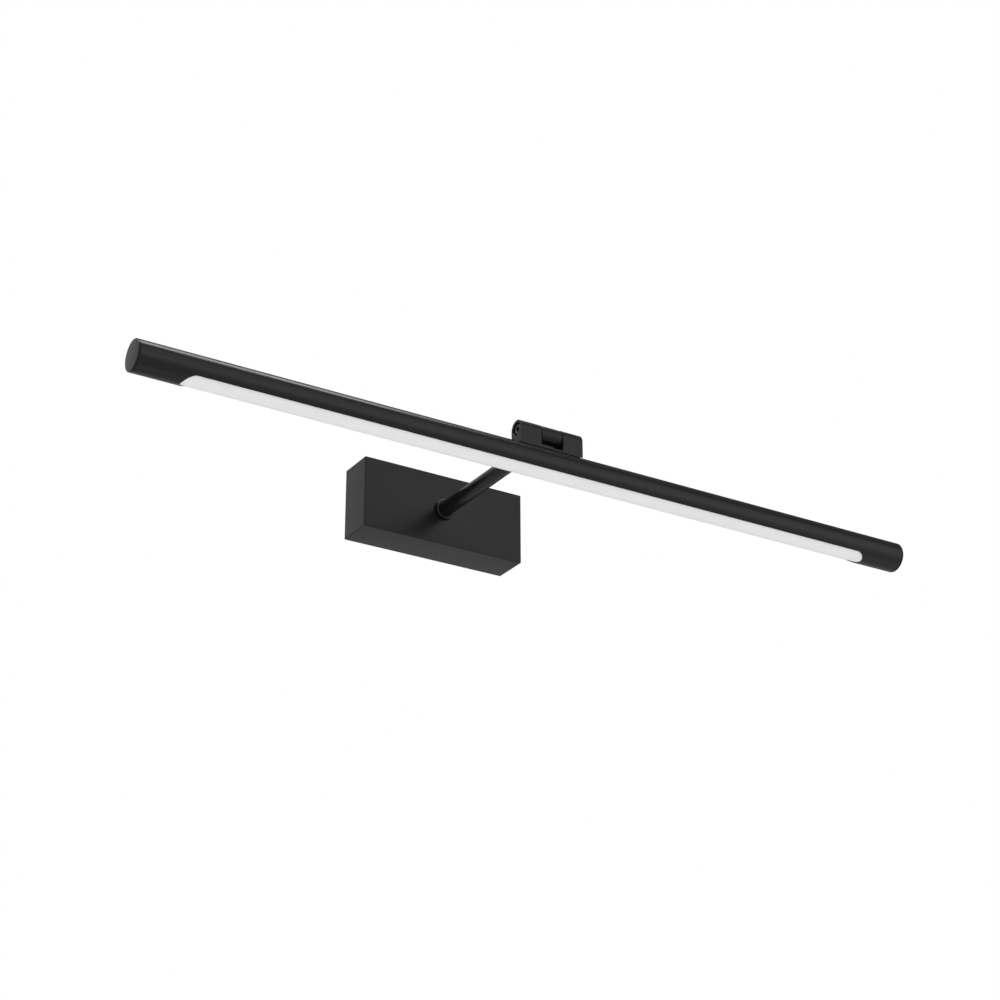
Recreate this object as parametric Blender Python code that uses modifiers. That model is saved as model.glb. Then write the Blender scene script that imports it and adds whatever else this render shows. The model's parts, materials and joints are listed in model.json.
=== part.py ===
"""Wall-hung LED picture light with a tilting tube head.

World frame, in metres: the origin is the centre of the wall base's back face, +X runs to the right along
the lamp tube, -Y points out of the wall and +Z is up.
"""

import math

import bmesh
import bpy
from mathutils import Matrix, Vector

MM = 0.001

# Driving dimensions, in millimetres
BASE_WIDTH = 120.0
BASE_HEIGHT = 50.0
BASE_DEPTH = 27.0
COVER_SHEET = 1.5
BRACKET_SHEET = 1.5
BRACKET_FLANGE = 8.0
BRACKET_ROOM = 0.5  # between the bracket and the cover that slips over it
ARM_REACH = 154.0  # from the wall to the tilt axis
ARM_DIAMETER = 10.0
ARM_BORE = 7.0
ARM_BOSS = 8.0  # from the tilt axis to the arm's end
ARM_TAIL = 9.5  # of the arm behind the cover's front
SPIGOT_LENGTH = 12.0
ARM_LEAD_TAIL = 6.0  # from the arm's end to the turn of its lead
COLLAR_RIM = 2.0
COLLAR_THICKNESS = 2.5
EAR_WIDTH = 14.5
HINGE_GAP = 16.0
EAR_DEPTH = 12.0
SADDLE_SHEET = 1.1
SADDLE_ROOM = 2.2  # from the ears' round crown down to the saddle
TUBE_DIAMETER = 20.0
TUBE_WALL = 1.2
HEAD_LENGTH = 555.0  # over both end caps
CAP_FLANGE = 1.2
CAP_SPIGOT = 6.0
SLOT_WIDTH = 15.4
SLOT_MARGIN = 30.5  # from each end of the head to the slot
DIFFUSER_RECESS = 0.7  # of its round face, from the tube's outside
DIFFUSER_FLANGE = 1.0
FLANGE_OVERLAP = 0.2  # over each side of the slot
FLANGE_TAIL = 4.0  # past each end of the slot
CARRIER_WEB = 1.4
CARRIER_LEG = 3.6  # from the legs' feet up to the web
LEG_THICKNESS = 1.1
BOARD_WIDTH = 12.0
BOARD_SHEET = 1.0
BOARD_INSET = 3.0  # from each end of the slot
CHIP_LENGTH = 3.5
CHIP_WIDTH = 2.8
CHIP_HEIGHT = 0.7
CHIP_PITCH = 20.0
LEAD_DIAMETER = 3.0
LEAD_BEND = 4.0
CHANNEL_ROOM = 0.7  # round the lead in the ear's channel
CHANNEL_OFFSET = 2.6  # from the ear's inner face to the start of the lead's bend
PIVOT_SCREW_DIAMETER = 4.0
PIVOT_HEAD_DIAMETER = 6.6
PIVOT_HEAD_HEIGHT = 3.0
PIVOT_HEX = 3.0
COUNTERBORE_DIAMETER = 8.2
COUNTERBORE_DEPTH = 4.0
BUSH_DIAMETER = 7.0
BUSH_BORE = 5.0
BUSH_START = 3.0  # from the middle of the barrel
WASHER_SHEET = 0.5
HINGE_SCREW_DIAMETER = 3.0
HINGE_SCREW_HEAD = 5.5
HINGE_SCREW_HEAD_HEIGHT = 1.8
HINGE_SCREW_OFFSET = 4.8  # from the lead's channel
HINGE_SCREW_SKIN = 1.6  # from the screw's tip to the counterbore
COVER_SCREW_INSET = 15.0
COVER_SCREW_RADIUS = 1.5
COVER_SCREW_HEAD_RADIUS = 2.75
COVER_SCREW_HEAD_HEIGHT = 1.6
COVER_SCREW_TIP = 1.5  # past the bracket's flange
EARTH_RADIUS = 2.0
EARTH_HEAD_RADIUS = 3.6
EARTH_HEAD_HEIGHT = 2.2
EARTH_INSET = 5.0  # from the bracket's lower flange
NUT_ACROSS_FLATS = 14.0
NUT_THICKNESS = 4.0
ARM_WASHER_DIAMETER = 18.0
DRIVER_SIDE_ROOM = 4.5  # to the cover at its end
DRIVER_ARM_ROOM = 3.0  # to the arm's washer
DRIVER_HEIGHT = 32.0
DRIVER_DEPTH = 17.0
DRIVER_WALL = 1.5
WALL_SLOT_INSET = 16.0
WALL_SLOT_LENGTH = 12.0
WALL_SLOT_WIDTH = 4.6
CABLE_HOLE_DIAMETER = 12.0
CABLE_HOLE_ROOM = 3.0  # to the terminal block
BLOCK_LENGTH = 22.0
BLOCK_DEPTH = 13.5
BLOCK_HEIGHT = 16.0
BLOCK_SIDE_ROOM = 3.5
POLES = 3
WIRE_DEPTH = 5.0  # from the block's back to its wires
INPUT_DROP = 5.0  # from the block's underside to the driver's input lead
WIRE_ENTRY = 3.0  # of a wire inside the block
LEAD_ENTRY = 1.0  # of a lead inside the driver's case

# Named clearances
TOUCH = 0.3  # between two pieces that rest on each other
SIDE = 0.15  # beside a piece that slides or turns in another
BORE = 0.15  # around a screw, bush or tube in its hole, on the radius
DRAG_GAP = 0.2  # on each face of a friction washer
TIP_ROOM = 0.4  # past a hinge screw's tip
HEAD_ROOM = 0.5  # from a hinge screw's head to the tube's bore
THROUGH = 1.0  # how far a cutter runs past the wall that it cuts

# Places worked out from them
PIVOT_Y = -ARM_REACH
HINGE_WIDTH = HINGE_GAP + 2 * EAR_WIDTH
COLLAR_DIAMETER = ARM_DIAMETER + 2 * COLLAR_RIM
EAR_RADIUS = EAR_DEPTH / 2
TUBE_RADIUS = TUBE_DIAMETER / 2
PIVOT_TO_TUBE = EAR_RADIUS + SADDLE_ROOM + SADDLE_SHEET + TOUCH + TUBE_RADIUS
TUBE_BORE_RADIUS = TUBE_RADIUS - TUBE_WALL
TUBE_Z = -PIVOT_TO_TUBE
TUBE_LENGTH = HEAD_LENGTH - 2 * (CAP_FLANGE + TOUCH)
SADDLE_INNER = TUBE_RADIUS + TOUCH
SADDLE_OUTER = SADDLE_INNER + SADDLE_SHEET
BARREL_LENGTH = HINGE_GAP - 2 * (WASHER_SHEET + 2 * DRAG_GAP)
SLOT_LENGTH = HEAD_LENGTH - 2 * SLOT_MARGIN
COVER_BACK = -TOUCH
COVER_FRONT = -BASE_DEPTH
FRONT_INSIDE = COVER_FRONT + COVER_SHEET
BRACKET_WIDTH = BASE_WIDTH - 2 * (COVER_SHEET + BRACKET_ROOM)
BRACKET_HEIGHT = BASE_HEIGHT - 2 * (COVER_SHEET + BRACKET_ROOM)
LEAD_RADIUS = LEAD_DIAMETER / 2
CHANNEL_X = HINGE_GAP / 2 + CHANNEL_OFFSET + LEAD_BEND  # where the lead drops through the right ear
SCREW_X = CHANNEL_X + HINGE_SCREW_OFFSET
LEAD_MEETING_X = BARREL_LENGTH / 2
BUSH_END = CHANNEL_X - LEAD_BEND
ARM_FRONT = PIVOT_Y + ARM_BOSS + TOUCH
ARM_BACK = FRONT_INSIDE + ARM_TAIL
DIFFUSER_RADIUS = TUBE_RADIUS - DIFFUSER_RECESS
FLANGE_WIDTH = SLOT_WIDTH + 2 * FLANGE_OVERLAP
FLANGE_BOTTOM = TUBE_Z - math.sqrt(TUBE_BORE_RADIUS**2 - (FLANGE_WIDTH / 2) ** 2) + TOUCH
FLANGE_TOP = FLANGE_BOTTOM + DIFFUSER_FLANGE
LEG_BOTTOM = FLANGE_TOP + TOUCH
CARRIER_HALF = math.sqrt((TUBE_BORE_RADIUS - TOUCH) ** 2 - (LEG_BOTTOM - TUBE_Z) ** 2)
WEB_BOTTOM = LEG_BOTTOM + CARRIER_LEG
WEB_TOP = WEB_BOTTOM + CARRIER_WEB
CARRIER_LENGTH = HEAD_LENGTH - 2 * (CAP_FLANGE + TOUCH + CAP_SPIGOT + TOUCH)
BOARD_TOP = WEB_BOTTOM - TOUCH
BOARD_BOTTOM = BOARD_TOP - BOARD_SHEET
BOARD_LENGTH = SLOT_LENGTH - 2 * BOARD_INSET
DRIVER_RIGHT = -(ARM_WASHER_DIAMETER / 2 + DRIVER_ARM_ROOM)
DRIVER_LEFT = -(BASE_WIDTH / 2 - COVER_SHEET - DRIVER_SIDE_ROOM)
DRIVER_BACK = -(BRACKET_SHEET + 2 * TOUCH)
DRIVER_FRONT = DRIVER_BACK - DRIVER_DEPTH
BLOCK_LEFT = BASE_WIDTH / 2 - COVER_SHEET - BLOCK_SIDE_ROOM - BLOCK_LENGTH
CABLE_HOLE_X = BLOCK_LEFT - CABLE_HOLE_ROOM - CABLE_HOLE_DIAMETER / 2
BLOCK_BACK = DRIVER_BACK
POLE_PITCH = BLOCK_LENGTH / POLES
POLE_X = [BLOCK_LEFT + POLE_PITCH * (pole + 0.5) for pole in range(POLES)]
COVER_SCREW_Y = -(BRACKET_SHEET + BRACKET_FLANGE / 2)
COVER_SCREWS = (
    ("left", COVER_SCREW_INSET - BASE_WIDTH / 2),
    ("right", BASE_WIDTH / 2 - COVER_SCREW_INSET),
)
WALL_SLOTS = (
    ("left", WALL_SLOT_INSET - BRACKET_WIDTH / 2),
    ("right", BRACKET_WIDTH / 2 - WALL_SLOT_INSET),
)
EARTH_X = CABLE_HOLE_X
EARTH_Z = -BRACKET_HEIGHT / 2 + BRACKET_SHEET + EARTH_INSET
EARTH_LEAD_Y = -(BRACKET_SHEET + LEAD_RADIUS + TOUCH)
WIRE_Y = BLOCK_BACK - WIRE_DEPTH
OUTPUT_PORT = (DRIVER_RIGHT, ARM_BACK + ARM_LEAD_TAIL, 0.0)
INPUT_PORT = (DRIVER_RIGHT, WIRE_Y, -BLOCK_HEIGHT / 2 - INPUT_DROP)
CHANNEL_RADIUS = LEAD_RADIUS + CHANNEL_ROOM
HINGE_SCREWS = (("left", -SCREW_X), ("right", SCREW_X))
HINGE_SCREW_TOP = -COUNTERBORE_DIAMETER / 2 - HINGE_SCREW_SKIN

FINISHES = {
    "matt_black": ((0.030, 0.030, 0.032), 0.5, 0.0),
    "opal": ((0.80, 0.80, 0.80), 0.45, 0.0),
    "zinc": ((0.55, 0.56, 0.58), 0.35, 1.0),
    "black_screw": ((0.045, 0.045, 0.047), 0.35, 1.0),
    "aluminium": ((0.72, 0.73, 0.74), 0.35, 1.0),
    "brass": ((0.75, 0.58, 0.28), 0.3, 1.0),
    "nylon": ((0.75, 0.74, 0.70), 0.5, 0.0),
    "board_white": ((0.80, 0.81, 0.80), 0.4, 0.0),
    "board_green": ((0.05, 0.22, 0.10), 0.4, 0.0),
    "case_white": ((0.72, 0.72, 0.70), 0.5, 0.0),
    "dark_plastic": ((0.05, 0.05, 0.06), 0.4, 0.0),
    "lead_sleeve": ((0.16, 0.16, 0.17), 0.5, 0.0),
    "earth_sleeve": ((0.20, 0.50, 0.12), 0.5, 0.0),
    "grommet_rubber": ((0.03, 0.03, 0.03), 0.8, 0.0),
}


# ---- scene, collections and materials ----


def clear_scene():
    for obj in list(bpy.data.objects):
        bpy.data.objects.remove(obj, do_unlink=True)


def new_collection(name):
    collection = bpy.data.collections.new(name)
    bpy.context.scene.collection.children.link(collection)
    return collection


def make_material(name):
    colour, roughness, metallic = FINISHES[name]
    material = bpy.data.materials.new(name)
    material.use_nodes = True
    shader = material.node_tree.nodes["Principled BSDF"]
    shader.inputs["Base Color"].default_value = (*colour, 1.0)
    shader.inputs["Roughness"].default_value = roughness
    shader.inputs["Metallic"].default_value = metallic
    material.diffuse_color = (*colour, 1.0)
    return material


clear_scene()
PIECES = new_collection("picture_light")
CUTTERS = new_collection("cutters")
MATERIALS = {name: make_material(name) for name in FINISHES}


def add_piece(name, mesh, finish):
    obj = bpy.data.objects.new(name, mesh)
    PIECES.objects.link(obj)
    mesh.materials.append(MATERIALS[finish])
    mesh.shade_smooth()
    mesh.set_sharp_from_angle(angle=math.radians(35))
    return obj


def add_cutter(name, mesh):
    obj = bpy.data.objects.new(name, mesh)
    CUTTERS.objects.link(obj)
    obj.hide_render = True
    obj.display_type = "WIRE"
    return obj


# ---- shapes, all given in millimetres ----


def mesh_from(bm, name):
    bmesh.ops.recalc_face_normals(bm, faces=bm.faces)
    mesh = bpy.data.meshes.new(name)
    bm.to_mesh(mesh)
    bm.free()
    return mesh


def box_mesh(name, low, high):
    bm = bmesh.new()
    bmesh.ops.create_cube(bm, size=1.0)
    middle = (Vector(low) + Vector(high)) / 2
    size = Vector(high) - Vector(low)
    bmesh.ops.scale(bm, vec=size * MM, verts=bm.verts)
    bmesh.ops.translate(bm, vec=middle * MM, verts=bm.verts)
    return mesh_from(bm, name)


def turned_to(axis):
    """The rotation that takes +Z to the axis named by its letter."""
    turns = {"X": Matrix.Rotation(math.pi / 2, 3, "Y"), "Y": Matrix.Rotation(-math.pi / 2, 3, "X")}
    return turns.get(axis, Matrix.Identity(3))


def cylinder_mesh(name, radius, start, length, axis, segments=32, top_radius=None):
    """A cylinder or cone that runs from its start point along +axis."""
    bm = bmesh.new()
    end_radius = radius if top_radius is None else top_radius
    bmesh.ops.create_cone(
        bm, cap_ends=True, segments=segments, radius1=radius * MM, radius2=end_radius * MM, depth=length * MM
    )
    bmesh.ops.translate(bm, vec=(0, 0, length * MM / 2), verts=bm.verts)
    bmesh.ops.rotate(bm, matrix=turned_to(axis), verts=bm.verts)
    bmesh.ops.translate(bm, vec=Vector(start) * MM, verts=bm.verts)
    return mesh_from(bm, name)


def stadium_mesh(name, length, width, centre, bottom, top, segments=48):
    """A round-ended slot shape, upright, with its long side along X."""
    bm = bmesh.new()
    bmesh.ops.create_cone(
        bm,
        cap_ends=True,
        segments=segments,
        radius1=width / 2 * MM,
        radius2=width / 2 * MM,
        depth=(top - bottom) * MM,
    )
    bmesh.ops.rotate(bm, matrix=Matrix.Rotation(math.pi / segments, 3, "Z"), verts=bm.verts)
    reach = (length - width) / 2 * MM
    for vert in bm.verts:
        vert.co.x += math.copysign(reach, vert.co.x)
    place = Vector((centre[0], centre[1], (bottom + top) / 2)) * MM
    bmesh.ops.translate(bm, vec=place, verts=bm.verts)
    return mesh_from(bm, name)


def arc_points(centre, radius, start, end, steps):
    """Points on an arc from one angle to another, in degrees."""
    angles = [math.radians(start + (end - start) * step / steps) for step in range(steps + 1)]
    return [(centre[0] + radius * math.cos(angle), centre[1] + radius * math.sin(angle)) for angle in angles]


def outline_mesh(name, outline, start, end):
    """A flat outline of (y, z) points, filled and drawn out along X."""
    curve = bpy.data.curves.new(name, "CURVE")
    curve.dimensions = "2D"
    curve.fill_mode = "BOTH"
    curve.extrude = (end - start) / 2 * MM
    spline = curve.splines.new("POLY")
    spline.points.add(len(outline) - 1)
    for point, (y, z) in zip(spline.points, outline):
        point.co = (y * MM, z * MM, 0.0, 1.0)
    spline.use_cyclic_u = True
    drawn = bpy.data.objects.new(name, curve)
    PIECES.objects.link(drawn)
    graph = bpy.context.evaluated_depsgraph_get()
    bm = bmesh.new()
    bm.from_mesh(bpy.data.meshes.new_from_object(drawn.evaluated_get(graph)))
    bpy.data.objects.remove(drawn)
    bmesh.ops.remove_doubles(bm, verts=bm.verts, dist=1e-7)
    upright = Matrix(((0, 0, 1), (1, 0, 0), (0, 1, 0)))
    bmesh.ops.rotate(bm, matrix=upright, verts=bm.verts)
    bmesh.ops.translate(bm, vec=Vector(((start + end) / 2, 0, 0)) * MM, verts=bm.verts)
    return mesh_from(bm, name)


def tube_mesh(name, outer, inner, start, length, axis, segments=32):
    """A plain ring or tube: a closed profile spun round, then set on its axis."""
    bm = bmesh.new()
    corners = [(inner, 0.0), (outer, 0.0), (outer, length), (inner, length)]
    verts = [bm.verts.new((radius * MM, 0.0, height * MM)) for radius, height in corners]
    edges = [bm.edges.new((verts[i], verts[(i + 1) % len(verts)])) for i in range(len(verts))]
    bmesh.ops.spin(
        bm,
        geom=verts + edges,
        cent=(0, 0, 0),
        axis=(0, 0, 1),
        angle=2 * math.pi,
        steps=segments,
        use_merge=True,
    )
    bmesh.ops.remove_doubles(bm, verts=bm.verts, dist=1e-6)
    bmesh.ops.rotate(bm, matrix=turned_to(axis), verts=bm.verts)
    bmesh.ops.translate(bm, vec=Vector(start) * MM, verts=bm.verts)
    return mesh_from(bm, name)


def turned_piece(name, profile, finish, place, turn, segments=48):
    """A turned piece: its profile of (radius, height) points, outer side from top to bottom, on a Screw."""
    mesh = bpy.data.meshes.new(name)
    points = [(radius * MM, 0.0, height * MM) for radius, height in profile]
    edges = [(i, i + 1) for i in range(len(points) - 1)]
    mesh.from_pydata(points, edges, [])
    mesh.materials.append(MATERIALS[finish])
    obj = bpy.data.objects.new(name, mesh)
    PIECES.objects.link(obj)
    screw = obj.modifiers.new("Turned", "SCREW")
    screw.axis = "Z"
    screw.steps = segments
    screw.render_steps = segments
    screw.use_merge_vertices = True
    screw.merge_threshold = 1e-6
    screw.use_smooth_shade = True
    obj.rotation_euler = turn
    obj.location = Vector(place) * MM
    return obj


def lead(name, route, finish):
    """A round lead along a route of points in millimetres."""
    curve = bpy.data.curves.new(name, "CURVE")
    curve.dimensions = "3D"
    curve.bevel_depth = LEAD_RADIUS * MM
    curve.bevel_resolution = 2
    curve.use_fill_caps = True
    curve.materials.append(MATERIALS[finish])
    spline = curve.splines.new("POLY")
    spline.points.add(len(route) - 1)
    for point, place in zip(spline.points, route):
        point.co = (*(Vector(place) * MM), 1.0)
    obj = bpy.data.objects.new(name, curve)
    PIECES.objects.link(obj)
    return obj


def rounded_route(corners, bend, steps=5):
    """The route through these corners, with each inner corner rounded to an arc of the bend radius."""
    corners = [Vector(corner) for corner in corners]
    route = [corners[0]]
    for before, corner, after in zip(corners, corners[1:], corners[2:]):
        towards = (before - corner).normalized()
        away = (after - corner).normalized()
        half = towards.angle(away) / 2
        centre = corner + (towards + away).normalized() * bend / math.sin(half)
        first = corner + towards * bend / math.tan(half) - centre
        last = corner + away * bend / math.tan(half) - centre
        axis = first.cross(last)
        whole = first.angle(last)
        for step in range(steps + 1):
            route.append(centre + Matrix.Rotation(whole * step / steps, 3, axis) @ first)
    route.append(corners[-1])
    return route


def combine(obj, other, operation):
    modifier = obj.modifiers.new(f"{operation.title()} {other.name}", "BOOLEAN")
    modifier.operation = operation
    modifier.object = other
    modifier.solver = "EXACT"


def cut(obj, name, mesh):
    combine(obj, add_cutter(name, mesh), "DIFFERENCE")


def join(obj, name, mesh):
    combine(obj, add_cutter(name, mesh), "UNION")


# ---- the wall base ----


def make_wall_bracket():
    half_width = BRACKET_WIDTH / 2
    half_height = BRACKET_HEIGHT / 2
    flange_front = -(BRACKET_SHEET + BRACKET_FLANGE)
    bracket = add_piece(
        "wall_bracket",
        box_mesh("wall_bracket", (-half_width, flange_front, -half_height), (half_width, 0, half_height)),
        "zinc",
    )
    channel_low = (-half_width - THROUGH, flange_front - THROUGH, -half_height + BRACKET_SHEET)
    channel_high = (half_width + THROUGH, -BRACKET_SHEET, half_height - BRACKET_SHEET)
    cut(bracket, "bracket_channel_cutter", box_mesh("bracket_channel_cutter", channel_low, channel_high))
    for side, x in WALL_SLOTS:
        slot = stadium_mesh(
            f"wall_slot_{side}", WALL_SLOT_LENGTH, WALL_SLOT_WIDTH, (x, 0), -BRACKET_SHEET, BRACKET_SHEET, 24
        )
        slot.transform(Matrix.Rotation(math.pi / 2, 4, "X"))
        cut(bracket, f"wall_slot_{side}", slot)
    through = BRACKET_SHEET + 2 * THROUGH
    hole = cylinder_mesh(
        "cable_hole",
        CABLE_HOLE_DIAMETER / 2,
        (CABLE_HOLE_X, -BRACKET_SHEET - THROUGH, 0),
        through,
        "Y",
    )
    cut(bracket, "cable_hole", hole)
    earth_hole = cylinder_mesh(
        "earth_hole", EARTH_RADIUS + BORE, (EARTH_X, -BRACKET_SHEET - THROUGH, EARTH_Z), through, "Y", 24
    )
    cut(bracket, "earth_hole", earth_hole)
    for side, x in COVER_SCREWS:
        thread = cylinder_mesh(
            f"bracket_thread_{side}",
            COVER_SCREW_RADIUS + BORE,
            (x, COVER_SCREW_Y, half_height - BRACKET_SHEET - THROUGH),
            BRACKET_SHEET + 2 * THROUGH,
            "Z",
            24,
        )
        cut(bracket, f"bracket_thread_{side}", thread)


def make_base_cover():
    """Five sides of a box, open at the wall, thickened inwards."""
    bm = bmesh.new()
    bmesh.ops.create_cube(bm, size=1.0)
    back = [face for face in bm.faces if face.normal.y > 0.5]
    bmesh.ops.delete(bm, geom=back, context="FACES_ONLY")
    depth = BASE_DEPTH - TOUCH
    bmesh.ops.scale(bm, vec=Vector((BASE_WIDTH, depth, BASE_HEIGHT)) * MM, verts=bm.verts)
    bmesh.ops.translate(bm, vec=Vector((0, COVER_BACK - depth / 2, 0)) * MM, verts=bm.verts)
    mesh = bpy.data.meshes.new("base_cover")
    bm.to_mesh(mesh)
    bm.free()
    cover = add_piece("base_cover", mesh, "matt_black")
    shell = cover.modifiers.new("Sheet", "SOLIDIFY")
    shell.thickness = COVER_SHEET * MM
    shell.offset = -1.0
    shell.use_even_offset = True
    arm_hole = cylinder_mesh(
        "arm_hole", ARM_DIAMETER / 2 + BORE, (0, COVER_FRONT - THROUGH, 0), COVER_SHEET + 2 * THROUGH, "Y"
    )
    cut(cover, "arm_hole", arm_hole)
    for side, x in COVER_SCREWS:
        hole = cylinder_mesh(
            f"cover_hole_{side}",
            COVER_SCREW_RADIUS + BORE,
            (x, COVER_SCREW_Y, BASE_HEIGHT / 2 - COVER_SHEET - THROUGH / 2),
            COVER_SHEET + THROUGH,
            "Z",
            24,
        )
        cut(cover, f"cover_hole_{side}", hole)


def screw_profile(shank_radius, shank_length, head_radius, head_height, chamfer):
    """A pan-headed screw that stands on its tip at height 0, outer side from top to bottom."""
    top = shank_length + head_height
    return [
        (0.0, top),
        (head_radius - chamfer, top),
        (head_radius, top - chamfer),
        (head_radius, shank_length),
        (shank_radius, shank_length),
        (shank_radius, 0.0),
        (0.0, 0.0),
    ]


def make_cover_screws():
    shank = TOUCH + COVER_SHEET + BRACKET_ROOM + BRACKET_SHEET + COVER_SCREW_TIP
    chamfer = 0.5
    profile = screw_profile(
        COVER_SCREW_RADIUS, shank, COVER_SCREW_HEAD_RADIUS, COVER_SCREW_HEAD_HEIGHT, chamfer
    )
    for side, x in COVER_SCREWS:
        foot = (x, COVER_SCREW_Y, BASE_HEIGHT / 2 + TOUCH - shank)
        turned_piece(f"cover_screw_{side}", profile, "black_screw", foot, (0, 0, 0), 24)


def make_earth_screw():
    chamfer = 0.5
    profile = screw_profile(EARTH_RADIUS, BRACKET_SHEET, EARTH_HEAD_RADIUS, EARTH_HEAD_HEIGHT, chamfer)
    foot = (EARTH_X, -TOUCH, EARTH_Z)
    turned_piece("earth_screw", profile, "brass", foot, (math.pi / 2, 0, 0), 24)


def make_cable_grommet():
    body = CABLE_HOLE_DIAMETER / 2 - BORE
    bore = 3.5
    lip = 2.0
    flange = body + lip
    thick = 1.2
    chamfer = 0.4
    inner = BRACKET_SHEET + TOUCH
    profile = [
        (bore, inner + thick),
        (flange - chamfer, inner + thick),
        (flange, inner + thick - chamfer),
        (flange, inner),
        (body, inner),
        (body, TOUCH),
        (bore, TOUCH),
        (bore, inner + thick),
    ]
    turned_piece("cable_grommet", profile, "grommet_rubber", (CABLE_HOLE_X, 0, 0), (math.pi / 2, 0, 0), 32)


def make_driver():
    """The LED driver: an open-fronted case, its lid, and the board with its two large components."""
    half = DRIVER_HEIGHT / 2
    lid_back = DRIVER_FRONT + DRIVER_WALL
    case_front = lid_back + TOUCH
    case = add_piece(
        "driver_case",
        box_mesh("driver_case", (DRIVER_LEFT, case_front, -half), (DRIVER_RIGHT, DRIVER_BACK, half)),
        "case_white",
    )
    wall = DRIVER_WALL
    low = (DRIVER_LEFT + wall, case_front - THROUGH, -half + wall)
    high = (DRIVER_RIGHT - wall, DRIVER_BACK - wall, half - wall)
    cut(case, "driver_hollow", box_mesh("driver_hollow", low, high))
    for name, place in (("output_hole", OUTPUT_PORT), ("input_hole", INPUT_PORT)):
        start = (DRIVER_RIGHT - wall - THROUGH, place[1], place[2])
        hole = cylinder_mesh(name, LEAD_RADIUS + BORE, start, wall + 2 * THROUGH, "X", 24)
        cut(case, name, hole)
    lid = box_mesh("driver_lid", (DRIVER_LEFT, DRIVER_FRONT, -half), (DRIVER_RIGHT, lid_back, half))
    add_piece("driver_lid", lid, "case_white")
    solder_room = 2.5
    board_sheet = 1.6
    edge_room = 1.0
    plug_room = 3.5
    lid_room = 0.6
    board_back = DRIVER_BACK - wall - solder_room
    board_front = board_back - board_sheet
    inset = wall + edge_room
    board_low = (DRIVER_LEFT + inset, board_front, -half + inset)
    board_high = (DRIVER_RIGHT - inset - plug_room, board_back, half - inset)
    add_piece("driver_board", box_mesh("driver_board", board_low, board_high), "board_green")
    component_front = case_front + lid_room
    component_back = board_front - TOUCH
    radius = 3.8
    start = (board_low[0] + edge_room + radius, component_front, board_high[2] - edge_room - radius)
    capacitor = cylinder_mesh("driver_capacitor", radius, start, component_back - component_front, "Y", 24)
    add_piece("driver_capacitor", capacitor, "dark_plastic")
    coil_side = 14.0
    component_gap = 0.9
    coil_left = start[0] + radius + component_gap
    coil_low = (coil_left, component_front, -coil_side / 2)
    coil_high = (coil_left + coil_side, component_back, coil_side / 2)
    add_piece("driver_transformer", box_mesh("driver_transformer", coil_low, coil_high), "dark_plastic")


def make_terminal_block():
    half = BLOCK_HEIGHT / 2
    front = BLOCK_BACK - BLOCK_DEPTH
    low = (BLOCK_LEFT, front, -half)
    high = (BLOCK_LEFT + BLOCK_LENGTH, BLOCK_BACK, half)
    block = add_piece("terminal_block", box_mesh("terminal_block", low, high), "nylon")
    screw_radius = 1.9
    screw_length = 3.5
    screw_face = front + 1.5
    well_depth = 6.5
    groove_width = 0.7
    groove_depth = 0.8
    entry_radius = 2.0
    entry_height = BLOCK_HEIGHT + 2 * THROUGH
    for pole, x in enumerate(POLE_X, start=1):
        start = (x, front - THROUGH, 0)
        well = cylinder_mesh(
            f"screw_well_{pole}", screw_radius + TOUCH, start, THROUGH + well_depth, "Y", 24
        )
        cut(block, f"screw_well_{pole}", well)
        foot = (x, WIRE_Y, -half - THROUGH)
        entry = cylinder_mesh(f"wire_entry_{pole}", entry_radius, foot, entry_height, "Z", 16)
        cut(block, f"wire_entry_{pole}", entry)
        screw = cylinder_mesh(
            f"terminal_screw_{pole}", screw_radius, (x, screw_face, 0), screw_length, "Y", 24
        )
        slotted = add_piece(f"terminal_screw_{pole}", screw, "brass")
        reach = screw_radius + THROUGH
        groove_low = (x - groove_width / 2, screw_face - THROUGH, -reach)
        groove_high = (x + groove_width / 2, screw_face + groove_depth, reach)
        cut(slotted, f"screw_groove_{pole}", box_mesh(f"screw_groove_{pole}", groove_low, groove_high))


# ---- the arm ----


def make_arm():
    length = ARM_BACK - ARM_FRONT
    arm = tube_mesh("arm_tube", ARM_DIAMETER / 2, ARM_BORE / 2, (0, ARM_FRONT, 0), length, "Y", 40)
    add_piece("arm_tube", arm, "matt_black")
    collar_back = COVER_FRONT - TOUCH
    chamfer = 0.5
    inner = ARM_DIAMETER / 2 + BORE
    outer = COLLAR_DIAMETER / 2
    profile = [
        (inner, COLLAR_THICKNESS),
        (outer - chamfer, COLLAR_THICKNESS),
        (outer, COLLAR_THICKNESS - chamfer),
        (outer, 0.0),
        (inner, 0.0),
        (inner, COLLAR_THICKNESS),
    ]
    turned_piece("arm_collar", profile, "matt_black", (0, collar_back, 0), (math.pi / 2, 0, 0))
    washer_front = FRONT_INSIDE + TOUCH
    washer_sheet = 1.0
    washer = tube_mesh(
        "arm_washer", ARM_WASHER_DIAMETER / 2, inner, (0, washer_front, 0), washer_sheet, "Y", 32
    )
    add_piece("arm_washer", washer, "zinc")
    nut_front = washer_front + washer_sheet + TOUCH
    nut_radius = NUT_ACROSS_FLATS / 2 / math.cos(math.pi / 6)
    nut_mesh = cylinder_mesh("arm_nut", nut_radius, (0, nut_front, 0), NUT_THICKNESS, "Y", 6)
    nut = add_piece("arm_nut", nut_mesh, "zinc")
    thread_start = (0, nut_front - THROUGH, 0)
    thread = cylinder_mesh("nut_thread", inner, thread_start, NUT_THICKNESS + 2 * THROUGH, "Y")
    cut(nut, "nut_thread", thread)


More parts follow.
